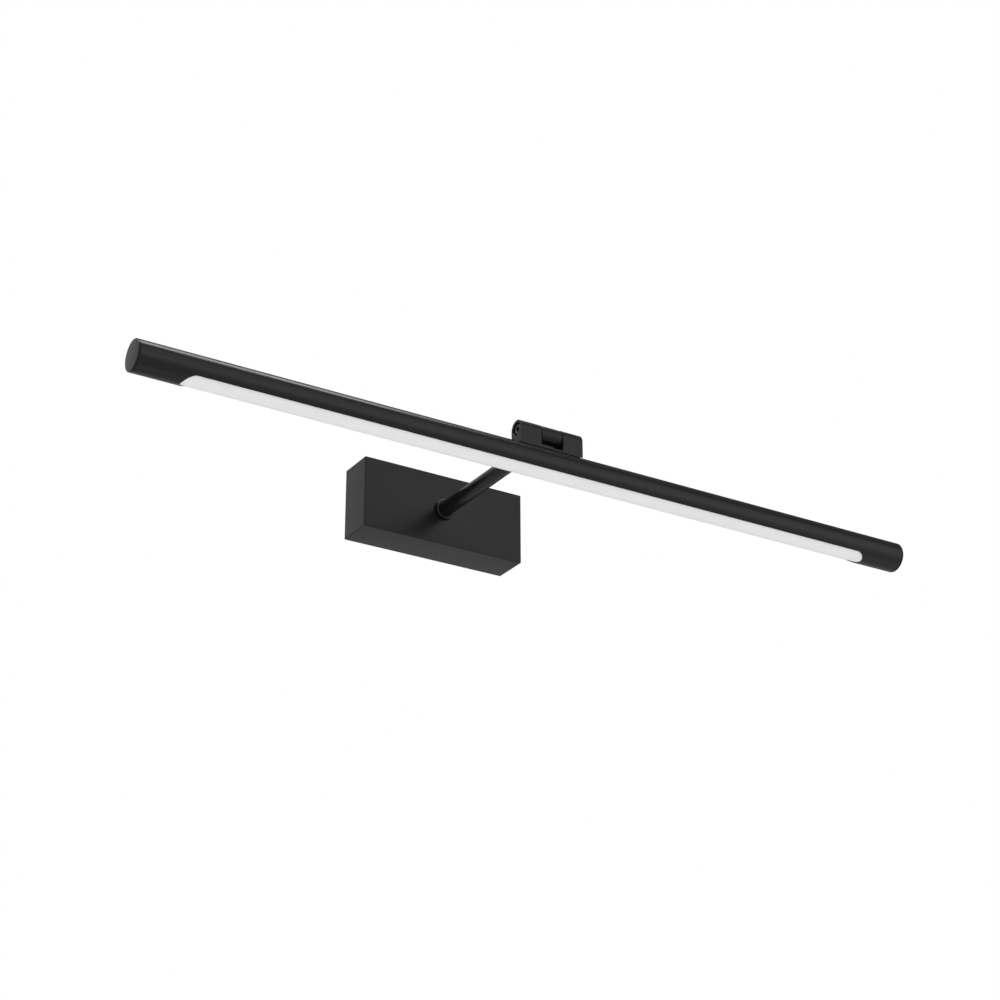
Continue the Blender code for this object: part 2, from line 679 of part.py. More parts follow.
def make_hinge_knuckle():
    """The barrel across the arm's end, with the boss and spigot that carry it."""
    half = BARREL_LENGTH / 2
    inset = 0.1  # of the barrel inside the ears' outline
    radius = EAR_RADIUS - inset
    barrel = cylinder_mesh("hinge_knuckle", radius, (-half, PIVOT_Y, 0), BARREL_LENGTH, "X", 48)
    knuckle = add_piece("hinge_knuckle", barrel, "matt_black")
    boss = cylinder_mesh("knuckle_boss", ARM_DIAMETER / 2, (0, PIVOT_Y, 0), ARM_BOSS, "Y", 40)
    join(knuckle, "knuckle_boss", boss)
    spigot = cylinder_mesh(
        "knuckle_spigot",
        ARM_BORE / 2 - BORE,
        (0, PIVOT_Y + ARM_BOSS - THROUGH, 0),
        SPIGOT_LENGTH + THROUGH,
        "Y",
    )
    join(knuckle, "knuckle_spigot", spigot)
    passage_length = ARM_BOSS + SPIGOT_LENGTH + THROUGH
    passage_room = 0.6
    passage = cylinder_mesh(
        "lead_passage", LEAD_RADIUS + passage_room, (0, PIVOT_Y, 0), passage_length, "Y", 24
    )
    cut(knuckle, "lead_passage", passage)
    bush_hole = cylinder_mesh(
        "knuckle_bush_hole", BUSH_DIAMETER / 2 + BORE, (-THROUGH, PIVOT_Y, 0), half + 2 * THROUGH, "X"
    )
    cut(knuckle, "knuckle_bush_hole", bush_hole)
    thread_radius = PIVOT_SCREW_DIAMETER / 2 + BORE
    thread_start = (-half - THROUGH, PIVOT_Y, 0)
    thread = cylinder_mesh("knuckle_thread", thread_radius, thread_start, half + THROUGH, "X", 24)
    cut(knuckle, "knuckle_thread", thread)


# ---- the pivot ----


def make_pivot():
    """The clamping screw on the left, the hollow bush on the right, and a drag washer at each ear."""
    seat = -HINGE_WIDTH / 2 + COUNTERBORE_DEPTH
    head_left = seat - TOUCH - PIVOT_HEAD_HEIGHT
    lead_room = 0.8
    shank_end = -(LEAD_RADIUS + lead_room)
    shank = shank_end - head_left - PIVOT_HEAD_HEIGHT
    chamfer = 0.3
    profile = screw_profile(
        PIVOT_SCREW_DIAMETER / 2, shank, PIVOT_HEAD_DIAMETER / 2, PIVOT_HEAD_HEIGHT, chamfer
    )
    screw = turned_piece(
        "pivot_screw", profile, "black_screw", (shank_end, PIVOT_Y, 0), (0, -math.pi / 2, 0), 32
    )
    hex_radius = PIVOT_HEX / 2 / math.cos(math.pi / 6)
    hex_depth = 2.0
    socket_start = (head_left - THROUGH, PIVOT_Y, 0)
    socket = cylinder_mesh("pivot_socket", hex_radius, socket_start, THROUGH + hex_depth, "X", 6)
    cut(screw, "pivot_socket", socket)
    bush = tube_mesh(
        "pivot_bush",
        BUSH_DIAMETER / 2,
        BUSH_BORE / 2,
        (BUSH_START, PIVOT_Y, 0),
        BUSH_END - BUSH_START,
        "X",
    )
    add_piece("pivot_bush", bush, "brass")
    washer_inset = 0.5
    washer_radius = EAR_RADIUS - washer_inset
    left_start = (-HINGE_GAP / 2 + DRAG_GAP, PIVOT_Y, 0)
    left_inner = PIVOT_SCREW_DIAMETER / 2 + BORE
    left = tube_mesh("friction_washer_left", washer_radius, left_inner, left_start, WASHER_SHEET, "X")
    add_piece("friction_washer_left", left, "dark_plastic")
    right_start = (HINGE_GAP / 2 - DRAG_GAP - WASHER_SHEET, PIVOT_Y, 0)
    right_inner = BUSH_DIAMETER / 2 + BORE
    right = tube_mesh("friction_washer_right", washer_radius, right_inner, right_start, WASHER_SHEET, "X")
    add_piece("friction_washer_right", right, "dark_plastic")
    cap_start = (HINGE_WIDTH / 2 - COUNTERBORE_DEPTH + TOUCH, PIVOT_Y, 0)
    cap_sunk = 0.3
    cap_length = COUNTERBORE_DEPTH - TOUCH - cap_sunk
    cap = cylinder_mesh("pivot_cap", COUNTERBORE_DIAMETER / 2 - BORE, cap_start, cap_length, "X")
    add_piece("pivot_cap", cap, "matt_black")


def make_hinge_fork():
    """Two round-topped ears and the thin saddle that joins them, fitted round the top of the lamp tube."""
    half = HINGE_WIDTH / 2
    gap_half = HINGE_GAP / 2
    axis = (PIVOT_Y, 0.0)
    tube_axis = (PIVOT_Y, TUBE_Z)
    crown = arc_points(axis, EAR_RADIUS, 0, 180, 32)
    spread = math.degrees(math.asin(EAR_RADIUS / SADDLE_INNER))
    seat = arc_points(tube_axis, SADDLE_INNER, 90 + spread, 90 - spread, 24)
    fork = add_piece("hinge_fork", outline_mesh("hinge_fork", crown + seat, -half, half), "matt_black")
    wide = EAR_RADIUS + THROUGH
    spread = math.degrees(math.asin(wide / SADDLE_OUTER))
    above_saddle = arc_points(tube_axis, SADDLE_OUTER, 90 + spread, 90 - spread, 24)
    above_saddle += [(PIVOT_Y + wide, wide), (PIVOT_Y - wide, wide)]
    cut(fork, "ear_gap", outline_mesh("ear_gap", above_saddle, -gap_half, gap_half))
    for name, radius, start, end in (
        ("screw_counterbore", COUNTERBORE_DIAMETER / 2, -half - THROUGH, -half + COUNTERBORE_DEPTH),
        ("screw_bore", PIVOT_SCREW_DIAMETER / 2 + BORE, -half, -gap_half + THROUGH),
        ("cap_counterbore", COUNTERBORE_DIAMETER / 2, half - COUNTERBORE_DEPTH, half + THROUGH),
        ("bush_bore", BUSH_DIAMETER / 2 + BORE, gap_half - THROUGH, half - COUNTERBORE_DEPTH + THROUGH),
    ):
        cut(fork, name, cylinder_mesh(name, radius, (start, PIVOT_Y, 0), end - start, "X", 40))
    foot = TUBE_Z + SADDLE_INNER * math.cos(math.asin(EAR_RADIUS / SADDLE_INNER))
    channel = cylinder_mesh(
        "lead_channel", CHANNEL_RADIUS, (CHANNEL_X, PIVOT_Y, foot - THROUGH), -foot + THROUGH, "Z", 24
    )
    cut(fork, "lead_channel", channel)
    for side, x in HINGE_SCREWS:
        start = (x, PIVOT_Y, foot - THROUGH)
        depth = HINGE_SCREW_TOP + TIP_ROOM - foot + THROUGH
        thread = cylinder_mesh(f"fork_thread_{side}", HINGE_SCREW_DIAMETER / 2 + BORE, start, depth, "Z", 24)
        cut(fork, f"fork_thread_{side}", thread)


def make_hinge_screws():
    head_top = TUBE_Z + TUBE_BORE_RADIUS - HEAD_ROOM
    shank = HINGE_SCREW_TOP - head_top
    chamfer = 0.3
    profile = screw_profile(
        HINGE_SCREW_DIAMETER / 2, shank, HINGE_SCREW_HEAD / 2, HINGE_SCREW_HEAD_HEIGHT, chamfer
    )
    for side, x in HINGE_SCREWS:
        turned_piece(
            f"hinge_screw_{side}", profile, "zinc", (x, PIVOT_Y, HINGE_SCREW_TOP), (math.pi, 0, 0), 24
        )


# ---- the lamp head ----


def make_lamp_tube():
    start = (-TUBE_LENGTH / 2, PIVOT_Y, TUBE_Z)
    mesh = tube_mesh("lamp_tube", TUBE_RADIUS, TUBE_BORE_RADIUS, start, TUBE_LENGTH, "X", 64)
    tube = add_piece("lamp_tube", mesh, "matt_black")
    slot_bottom = TUBE_Z - TUBE_RADIUS - THROUGH
    slot_top = TUBE_Z - TUBE_BORE_RADIUS / 2
    slot = stadium_mesh("lamp_slot", SLOT_LENGTH, SLOT_WIDTH, (0, PIVOT_Y), slot_bottom, slot_top)
    cut(tube, "lamp_slot", slot)
    bottom = TUBE_Z + TUBE_BORE_RADIUS - 2 * THROUGH
    height = TUBE_WALL + 4 * THROUGH
    hole_start = (CHANNEL_X, PIVOT_Y, bottom)
    cut(tube, "tube_lead_hole", cylinder_mesh("tube_lead_hole", CHANNEL_RADIUS, hole_start, height, "Z", 24))
    for side, x in HINGE_SCREWS:
        name = f"tube_screw_hole_{side}"
        radius = HINGE_SCREW_DIAMETER / 2 + BORE
        cut(tube, name, cylinder_mesh(name, radius, (x, PIVOT_Y, bottom), height, "Z", 24))


def make_end_caps():
    """Flat caps with a fine rounded rim and a hollow spigot that stands in the tube."""
    spigot = TUBE_BORE_RADIUS - BORE
    rim = 0.4
    base = CAP_FLANGE + CAP_SPIGOT + TOUCH
    cup_wall = 1.2
    cup_floor = 1.0
    cup = spigot - cup_wall
    profile = [(0.0, base)]
    profile += arc_points((TUBE_RADIUS - rim, base - rim), rim, 90, 0, 3)
    profile += [
        (TUBE_RADIUS, base - CAP_FLANGE),
        (spigot, base - CAP_FLANGE),
        (spigot, 0.0),
        (cup, 0.0),
        (cup, CAP_SPIGOT - cup_floor),
        (0.0, CAP_SPIGOT - cup_floor),
    ]
    inner = HEAD_LENGTH / 2 - base
    for side, sign in (("left", -1), ("right", 1)):
        place = (sign * inner, PIVOT_Y, TUBE_Z)
        turned_piece(f"end_cap_{side}", profile, "matt_black", place, (0, sign * math.pi / 2, 0), 64)


def make_diffuser():
    """A round-faced strip that fills the slot, with a wider flange above it that rests inside the tube."""
    length = SLOT_LENGTH - 2 * SIDE
    width = SLOT_WIDTH - 2 * SIDE
    below = TUBE_Z - TUBE_RADIUS
    strip = stadium_mesh("diffuser", length, width, (0, PIVOT_Y), below, FLANGE_BOTTOM + DIFFUSER_FLANGE / 2)
    diffuser = add_piece("diffuser", strip, "opal")
    start = (-HEAD_LENGTH / 2, PIVOT_Y, TUBE_Z)
    face = cylinder_mesh("diffuser_face", DIFFUSER_RADIUS, start, HEAD_LENGTH, "X", 96)
    combine(diffuser, add_cutter("diffuser_face", face), "INTERSECT")
    half = SLOT_LENGTH / 2 + FLANGE_TAIL
    low = (-half, PIVOT_Y - FLANGE_WIDTH / 2, FLANGE_BOTTOM)
    high = (half, PIVOT_Y + FLANGE_WIDTH / 2, FLANGE_TOP)
    join(diffuser, "diffuser_flange", box_mesh("diffuser_flange", low, high))


def make_led_carrier():
    half = CARRIER_LENGTH / 2
    low = (-half, PIVOT_Y - CARRIER_HALF, LEG_BOTTOM)
    high = (half, PIVOT_Y + CARRIER_HALF, WEB_TOP)
    carrier = add_piece("led_carrier", box_mesh("led_carrier", low, high), "aluminium")
    inside = CARRIER_HALF - LEG_THICKNESS
    channel_low = (-half - THROUGH, PIVOT_Y - inside, LEG_BOTTOM - THROUGH)
    channel_high = (half + THROUGH, PIVOT_Y + inside, WEB_BOTTOM)
    cut(carrier, "carrier_channel", box_mesh("carrier_channel", channel_low, channel_high))
    start = (CHANNEL_X, PIVOT_Y, WEB_BOTTOM - THROUGH)
    hole = cylinder_mesh("carrier_lead_hole", CHANNEL_RADIUS, start, CARRIER_WEB + 2 * THROUGH, "Z", 24)
    cut(carrier, "carrier_lead_hole", hole)


def make_led_board():
    """The white board with its row of LEDs soldered on the underside."""
    half = BOARD_LENGTH / 2
    low = (-half, PIVOT_Y - BOARD_WIDTH / 2, BOARD_BOTTOM)
    high = (half, PIVOT_Y + BOARD_WIDTH / 2, BOARD_TOP)
    board = add_piece("led_board", box_mesh("led_board", low, high), "board_white")
    count = int((BOARD_LENGTH - CHIP_PITCH) / CHIP_PITCH) + 1
    first = -(count - 1) / 2 * CHIP_PITCH
    sunk = 0.3
    chip_low = (first - CHIP_LENGTH / 2, PIVOT_Y - CHIP_WIDTH / 2, BOARD_BOTTOM - CHIP_HEIGHT)
    chip_high = (first + CHIP_LENGTH / 2, PIVOT_Y + CHIP_WIDTH / 2, BOARD_BOTTOM + sunk)
    chips = add_cutter("led_chips", box_mesh("led_chips", chip_low, chip_high))
    row = chips.modifiers.new("Row", "ARRAY")
    row.count = count
    row.use_relative_offset = False
    row.use_constant_offset = True
    row.constant_offset_displace = (CHIP_PITCH * MM, 0, 0)
    combine(board, chips, "UNION")


# ---- the leads ----


def make_leads():
    meeting = LEAD_MEETING_X
    inside_driver = DRIVER_RIGHT - DRIVER_WALL - LEAD_ENTRY
    arm_route = rounded_route(
        [
            (meeting - TOUCH / 2, PIVOT_Y, 0),
            (0, PIVOT_Y, 0),
            (0, OUTPUT_PORT[1], 0),
            (inside_driver, OUTPUT_PORT[1], 0),
        ],
        LEAD_BEND,
    )
    lead("arm_lead", arm_route, "lead_sleeve")
    head_route = rounded_route(
        [
            (meeting + TOUCH / 2, PIVOT_Y, 0),
            (CHANNEL_X, PIVOT_Y, 0),
            (CHANNEL_X, PIVOT_Y, BOARD_TOP + TOUCH),
        ],
        LEAD_BEND,
    )
    lead("head_lead", head_route, "lead_sleeve")
    wire_end = -BLOCK_HEIGHT / 2 + WIRE_ENTRY
    input_route = rounded_route(
        [
            (POLE_X[0], WIRE_Y, wire_end),
            (POLE_X[0], WIRE_Y, INPUT_PORT[2]),
            (inside_driver, WIRE_Y, INPUT_PORT[2]),
        ],
        LEAD_BEND,
    )
    lead("driver_input_lead", input_route, "lead_sleeve")
    earth_route = rounded_route(
        [
            (POLE_X[2], WIRE_Y, wire_end),
            (POLE_X[2], WIRE_Y, EARTH_Z),
            (POLE_X[2] - 2 * LEAD_BEND, EARTH_LEAD_Y, EARTH_Z),
            (EARTH_X + EARTH_HEAD_RADIUS + TOUCH, EARTH_LEAD_Y, EARTH_Z),
        ],
        LEAD_BEND,
    )
    lead("earth_lead", earth_route, "earth_sleeve")


def main():
    make_wall_bracket()
    make_base_cover()
    make_cover_screws()
    make_earth_screw()
    make_cable_grommet()
    make_driver()
    make_terminal_block()
    make_arm()
    make_hinge_knuckle()
    make_pivot()
    make_hinge_fork()
    make_hinge_screws()
    make_lamp_tube()
    make_end_caps()
    make_diffuser()
    make_led_carrier()
    make_led_board()
    make_leads()


main()
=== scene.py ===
"""Looks of a wall-hung picture light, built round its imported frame.

Lengths are in metres, in the frame's own axes: X runs along the lamp tube, -Y points out of the wall and
Z is up. The origin is the centre of the wall base's back face.
"""

import json
import math

import bmesh
import bpy
from bpy.props import FloatProperty, FloatVectorProperty, PointerProperty
from mathutils import Matrix, Vector


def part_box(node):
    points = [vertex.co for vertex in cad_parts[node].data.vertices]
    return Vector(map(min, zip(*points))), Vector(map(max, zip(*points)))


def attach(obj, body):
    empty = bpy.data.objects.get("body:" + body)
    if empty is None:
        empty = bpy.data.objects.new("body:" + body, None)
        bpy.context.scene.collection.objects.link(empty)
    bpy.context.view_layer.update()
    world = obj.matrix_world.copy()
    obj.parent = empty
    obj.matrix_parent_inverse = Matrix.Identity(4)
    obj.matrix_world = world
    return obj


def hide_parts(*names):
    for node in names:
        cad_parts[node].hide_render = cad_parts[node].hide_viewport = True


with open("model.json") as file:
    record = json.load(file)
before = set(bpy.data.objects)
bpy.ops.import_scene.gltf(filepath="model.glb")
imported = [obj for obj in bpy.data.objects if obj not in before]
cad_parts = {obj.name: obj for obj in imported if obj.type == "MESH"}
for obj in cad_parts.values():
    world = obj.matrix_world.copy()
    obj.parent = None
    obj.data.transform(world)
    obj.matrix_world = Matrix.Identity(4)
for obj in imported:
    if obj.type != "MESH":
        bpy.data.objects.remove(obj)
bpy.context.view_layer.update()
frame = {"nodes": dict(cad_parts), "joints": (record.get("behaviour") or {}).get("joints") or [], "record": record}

bl_info = {
    "name": "Picture light",
    "version": (1, 0, 0),
    "blender": (4, 5, 0),
    "location": "View3D > Sidebar > Picture light",
    "description": "Builds the visible pieces, finishes and studio of a wall-hung picture light",
    "category": "Object",
}

MM = 0.001
THROUGH = 1.0 * MM  # how far a cutter runs past what it cuts
NEAR = 0.01 * MM  # how near a point comes to a face that it lies on
ROUND = 2 * math.pi

# Small sizes that several pieces share
CUT_EDGE = 0.12 * MM  # rounding of a cut sheet's or tube's edges
SCREW_HOLE = 1.65 * MM  # radius of a cover or hinge screw's hole
LEAD_HOLE = 2.2 * MM  # radius of the lead's hole into the lamp tube
LEAD_RADIUS = 1.5 * MM

# How sharp an outer edge is before its coat wears and the powder coat gets a painted highlight there, and before
# it isn't shaded smooth
WEAR_AND_HIGHLIGHT_ANGLE = math.radians(12.0)
CREASE_ANGLE = math.radians(38.0)

# Places that the frame gives
COVER_LOW, COVER_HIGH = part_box("base_cover")
BRACKET_LOW, BRACKET_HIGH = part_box("wall_bracket")
ARM_LOW, ARM_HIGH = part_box("arm_tube")
COLLAR_LOW, COLLAR_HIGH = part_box("arm_collar")
FORK_LOW, FORK_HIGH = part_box("hinge_fork")
KNUCKLE_LOW, KNUCKLE_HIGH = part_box("hinge_knuckle")
TUBE_LOW, TUBE_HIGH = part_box("lamp_tube")
CAP_LOW, CAP_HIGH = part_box("end_cap_right")
LENS_LOW, LENS_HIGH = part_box("diffuser")
GROMMET_LOW, GROMMET_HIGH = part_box("cable_grommet")
PIVOT = Vector(frame["joints"][0]["pos_m"])
TUBE_CENTRE = (TUBE_LOW + TUBE_HIGH) / 2
LEAD_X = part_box("head_lead")[1].x - LEAD_RADIUS
TUBE_RADIUS = (TUBE_HIGH.z - TUBE_LOW.z) / 2
ARM_RADIUS = (ARM_HIGH.x - ARM_LOW.x) / 2
EAR_RADIUS = FORK_HIGH.z - PIVOT.z
BARREL_RADIUS = KNUCKLE_HIGH.z - PIVOT.z


# ---- sizes and colours that a user may change ----


def length(name, description, default):
    return FloatProperty(name=name, description=description, default=default, min=0.0, unit="LENGTH")


def share(name, description, default):
    return FloatProperty(
        name=name, description=description, default=default, min=0.0, max=1.0, subtype="FACTOR"
    )


def strength(name, description, default):
    return FloatProperty(name=name, description=description, default=default, min=0.0)


def wattage(name, description, default):
    return FloatProperty(name=name, description=description, default=default, min=0.0, unit="POWER")


def angle(name, description, default):
    """An angle, its default in degrees."""
    return FloatProperty(
        name=name,
        description=description,
        default=math.radians(default),
        subtype="ANGLE",
        unit="ROTATION",
    )


def colour(name, description, default):
    return FloatVectorProperty(
        name=name, description=description, default=default, min=0.0, max=1.0, size=3, subtype="COLOR"
    )


class PictureLightSizes(bpy.types.PropertyGroup):
    """Sizes of the finished pieces that the frame leaves open"""

    cover_sheet: length("Cover sheet", "Wall thickness of the base cover", 1.5 * MM)
    cover_corner: length("Cover corner", "Outer corner radius of the base cover", 0.55 * MM)
    bracket_sheet: length("Bracket sheet", "Thickness of the wall bracket", 1.5 * MM)
    bracket_bend: length("Bracket bend", "Outer bend radius of the wall bracket", 2.0 * MM)
    wall_slot_inset: length("Wall slot inset", "From the bracket's end to a slot's middle", 16.0 * MM)
    wall_slot_length: length("Wall slot length", "Length of a wall screw slot", 12.0 * MM)
    wall_slot_width: length("Wall slot width", "Width of a wall screw slot", 4.6 * MM)
    hole_room: length("Hole room", "Gap round a screw or tube in its hole", 0.15 * MM)
    arm_bore: length("Arm bore", "Inner diameter of the arm", 7.0 * MM)
    arm_boss: length("Arm boss", "From the tilt axis to the arm's end", 8.0 * MM)
    collar_edge: length("Collar edge", "Rounding of the collar's front edge", 0.7 * MM)
    hinge_gap: length("Hinge gap", "Between the two ears", 16.0 * MM)
    saddle_sheet: length("Saddle sheet", "Thickness of the saddle between the ears", 1.1 * MM)
    saddle_room: length("Saddle room", "Gap between the saddle and the lamp tube", 0.3 * MM)
    ear_edge: length("Ear edge", "Rounding of the ears' outer edges", 0.6 * MM)
    gap_edge: length("Gap edge", "Rounding of the ears' inner edges", 0.25 * MM)
    counterbore_diameter: length("Counterbore", "Diameter of the ears' counterbores", 8.2 * MM)
    counterbore_depth: length("Counterbore depth", "Depth of the ears' counterbores", 4.0 * MM)
    counterbore_lip: length("Counterbore lip", "Chamfer at a counterbore's mouth", 0.3 * MM)
    pivot_screw: length("Pivot screw", "Shank diameter of the pivot screw", 4.0 * MM)
    pivot_hex: length("Pivot hex", "Across the flats of the pivot screw's socket", 3.0 * MM)
    bush_diameter: length("Bush", "Outer diameter of the hollow pivot bush", 7.0 * MM)
    lead_passage: length("Lead passage", "Diameter of the passages for the lead", 4.2 * MM)
    tube_wall: length("Tube wall", "Wall thickness of the lamp tube", 1.2 * MM)
    cap_flange: length("Cap flange", "Thickness of an end cap outside the tube", 1.2 * MM)
    cap_crown: length("Cap crown", "Rise of each cap's face from its rim to its middle", 0.35 * MM)
    cap_edge: length("Cap edge", "Rounding of an end cap's rim", 0.6 * MM)
    slot_width: length("Slot width", "Width of the lamp tube's slot", 15.4 * MM)
    slot_margin: length("Slot margin", "From each end of the head to the slot", 30.5 * MM)
    lens_room: length("Lens room", "Gap between the diffuser and the slot's sides", 0.15 * MM)
    lens_flange: length("Lens flange", "Thickness of the diffuser's hidden flange", 1.0 * MM)
    lens_edge: length("Lens edge", "Rounding of the diffuser's visible edge", 0.25 * MM)


class PictureLightFinishes(bpy.types.PropertyGroup):
    """Colours of the finishes"""

    black: colour("Black coat", "Powder coat of the base, arm and hinge", (0.0052, 0.0052, 0.0055))
    tube_black: colour("Tube coat", "Powder coat of the lamp tube and its caps", (0.0052, 0.0052, 0.0055))
    black_roughness: share("Coat roughness", "Roughness of the powder coat", 0.34)
    opal: colour("Opal", "Diffuser's acrylic", (0.86, 0.86, 0.86))
    zinc: colour("Zinc", "Plated steel of the bracket", (0.55, 0.56, 0.58))
    black_screw: colour("Black screw", "Blackened steel of the screws", (0.05, 0.05, 0.053))
    aluminium: colour("Aluminium", "Extruded LED carrier", (0.72, 0.73, 0.74))
    brass: colour("Brass", "Turned brass", (0.75, 0.58, 0.28))
    nylon: colour("Nylon", "Terminal block", (0.75, 0.74, 0.70))
    board_white: colour("LED board", "White solder mask", (0.80, 0.81, 0.80))
    board_green: colour("Driver board", "Green solder mask", (0.05, 0.22, 0.10))
    case_white: colour("Driver case", "Moulded driver case", (0.72, 0.72, 0.70))
    dark_plastic: colour("Dark plastic", "Washers and components", (0.012, 0.012, 0.013))
    lead_sleeve: colour("Lead sleeve", "Twin lead", (0.16, 0.16, 0.17))
    earth_green: colour("Earth green", "Earth lead", (0.20, 0.50, 0.12))
    earth_yellow: colour("Earth yellow", "Stripe of the earth lead", (0.80, 0.68, 0.06))
    rubber: colour("Rubber", "Cable grommet", (0.03, 0.03, 0.03))
    floor: colour("Floor", "Studio floor", (0.86, 0.86, 0.86))


class PictureLightStudio(bpy.types.PropertyGroup):
    """Camera, light and floor"""

    camera_place: FloatVectorProperty(
        name="Camera place",
        description="Where the camera stands",
        default=(-0.70665, -1.24825, -0.64568),
        subtype="TRANSLATION",
        unit="LENGTH",
    )
    camera_yaw: angle("Camera yaw", "Turn of the view from +Y towards +X", 31.558)
    camera_pitch: angle("Camera pitch", "Tilt of the view above the horizon", 24.840)
    camera_roll: angle("Camera roll", "Turn of the camera about its own view", -0.153)
    focal_length: FloatProperty(
        name="Focal length",
        description="Lens of the camera, on a 36 mm sensor",
        default=84.12,
        unit="CAMERA",
    )
    floor_drop: length("Floor drop", "From the wall base's middle down to the floor", 1.6)
    floor_size: length("Floor size", "Side of the square floor", 60.0)
    floor_glow: strength("Floor glow", "Light that the floor gives off", 0.55)
    front_light: strength("Front light", "Surround's strength in front", 0.82)
    back_light: strength("Back light", "Surround's strength behind", 0.5)
    strip_power: wattage("Strip power", "Power of the strip overhead", 11.0)
    panel_power: wattage("Panel power", "Power of the panel below the light", 0.7)


# ---- finishes ----

BLACK = (0.0, 0.0, 0.0, 1.0)
WHITE = (1.0, 1.0, 1.0, 1.0)
COAT_SHEEN = (0.94, 0.94, 1.0, 1.0)  # the coat mirrors a little more blue than red
FINISHES = {}


def add_node(tree, kind, inputs=(), **settings):
    """A shader node with its settings and the values of its unlinked inputs."""
    node = tree.nodes.new(kind)
    for name, value in settings.items():
        setattr(node, name, value)
    for name, value in dict(inputs).items():
        node.inputs[name].default_value = value
    return node


def start_finish(name, tint, roughness, metallic=0.0):
    """A new material with its shader set, and the object's own coordinates to paint with."""
    material = bpy.data.materials.new(name)
    material.use_nodes = True
    material.diffuse_color = (*tint, 1.0)
    tree = material.node_tree
    shader = tree.nodes["Principled BSDF"]
    shader.inputs["Base Color"].default_value = (*tint, 1.0)
    shader.inputs["Roughness"].default_value = roughness
    shader.inputs["Metallic"].default_value = metallic
    place = add_node(tree, "ShaderNodeTexCoord").outputs["Object"]
    return material, tree, shader, place


def noise(tree, place, scale, detail=3.0, roughness=0.55, stretch=None):
    """Noise whose grains are about 1/scale metres across, drawn out along an axis by stretch."""
    if stretch is not None:
        mapping = add_node(tree, "ShaderNodeMapping", {"Scale": stretch})
        tree.links.new(place, mapping.inputs["Vector"])
        place = mapping.outputs["Vector"]
    texture = add_node(
        tree, "ShaderNodeTexNoise", {"Scale": scale, "Detail": detail, "Roughness": roughness}
    )
    tree.links.new(place, texture.inputs["Vector"])
    return texture.outputs["Fac"]


def ranged(tree, source, low, high):
    """The source's middle range, spread from low to high."""
    spread = add_node(
        tree, "ShaderNodeMapRange", {"From Min": 0.3, "From Max": 0.7, "To Min": low, "To Max": high}
    )
    tree.links.new(source, spread.inputs["Value"])
    return spread.outputs["Result"]


def blended(tree, factor, first, second):
    """A colour between two, each a colour or another node's output."""
    mix = add_node(tree, "ShaderNodeMix", data_type="RGBA")
    tree.links.new(factor, mix.inputs["Factor"])
    for socket, value in ((mix.inputs[6], first), (mix.inputs[7], second)):
        if isinstance(value, bpy.types.NodeSocket):
            tree.links.new(value, socket)
        else:
            socket.default_value = (*value, 1.0)
    return mix.outputs[2]


def summed(tree, first, share_of_first, second):
    """A weighted sum of two heights."""
    add = add_node(tree, "ShaderNodeMath", operation="MULTIPLY_ADD")
    add.inputs[1].default_value = share_of_first
    tree.links.new(first, add.inputs[0])
    tree.links.new(second, add.inputs[2])
    return add.outputs["Value"]


def bumped(tree, shader, height, depth, strength=1.0):
    """Relief of the given depth on the shader's normal."""
    bump = add_node(tree, "ShaderNodeBump", {"Strength": strength, "Distance": depth})
    tree.links.new(height, bump.inputs["Height"])
    tree.links.new(bump.outputs["Normal"], shader.inputs["Normal"])


def scaled(tint, factor):
    return tuple(min(1.0, value * factor) for value in tint)


def mottle(tree, shader, source, tint, dark, light):
    """The tint on the shader, from a darker to a lighter share of it along the source's range."""
    shades = blended(tree, ranged(tree, source, 0.0, 1.0), scaled(tint, dark), scaled(tint, light))
    tree.links.new(shades, shader.inputs["Base Color"])


def roughen(tree, shader, source, low, high):
    """The shader's roughness, from low to high along the source's range."""
    tree.links.new(ranged(tree, source, low, high), shader.inputs["Roughness"])


def wear_and_highlight(tree):
    """How much wear a point shows, and on the powder coat its painted edge highlight, from the mark on its mesh.
    """
    return add_node(tree, "ShaderNodeAttribute", attribute_name="edge_wear_and_highlight").outputs["Fac"]


def powder_coat(name, tint, roughness):
    """Fine-textured powder coat: grainy, faintly mottled, rubbed a little smoother at its edges, and lightened
    there as a painted highlight.
    """
    material, tree, shader, place = start_finish(name, tint, roughness)
    shader.inputs["Specular Tint"].default_value = COAT_SHEEN
    shader.inputs["IOR"].default_value = 1.45
    grain = noise(tree, place, 2200.0)
    peel = noise(tree, place, 420.0, detail=2.0)
    cloud = noise(tree, place, 35.0, detail=4.0)
    wear_and_highlight_mask = wear_and_highlight(tree)
    mottled = blended(tree, ranged(tree, cloud, 0.0, 1.0), scaled(tint, 0.86), scaled(tint, 1.14))
    # painted highlight: the coat's colour is lightened along its marked edges, in place of the edge highlights
    painted_edge_highlight = blended(tree, wear_and_highlight_mask, mottled, scaled(tint, 1.5))
    tree.links.new(painted_edge_highlight, shader.inputs["Base Color"])
    patchy = summed(tree, grain, 0.5, ranged(tree, cloud, 0.1, 0.4))
    rough = ranged(tree, patchy, roughness - 0.04, roughness + 0.05)
    smoother = add_node(tree, "ShaderNodeMath", operation="MULTIPLY_ADD")
    smoother.inputs[1].default_value = -0.08
    tree.links.new(wear_and_highlight_mask, smoother.inputs[0])
    tree.links.new(rough, smoother.inputs[2])
    tree.links.new(smoother.outputs["Value"], shader.inputs["Roughness"])
    bumped(tree, shader, summed(tree, peel, 0.8, grain), 0.02 * MM, 0.6)
    return material


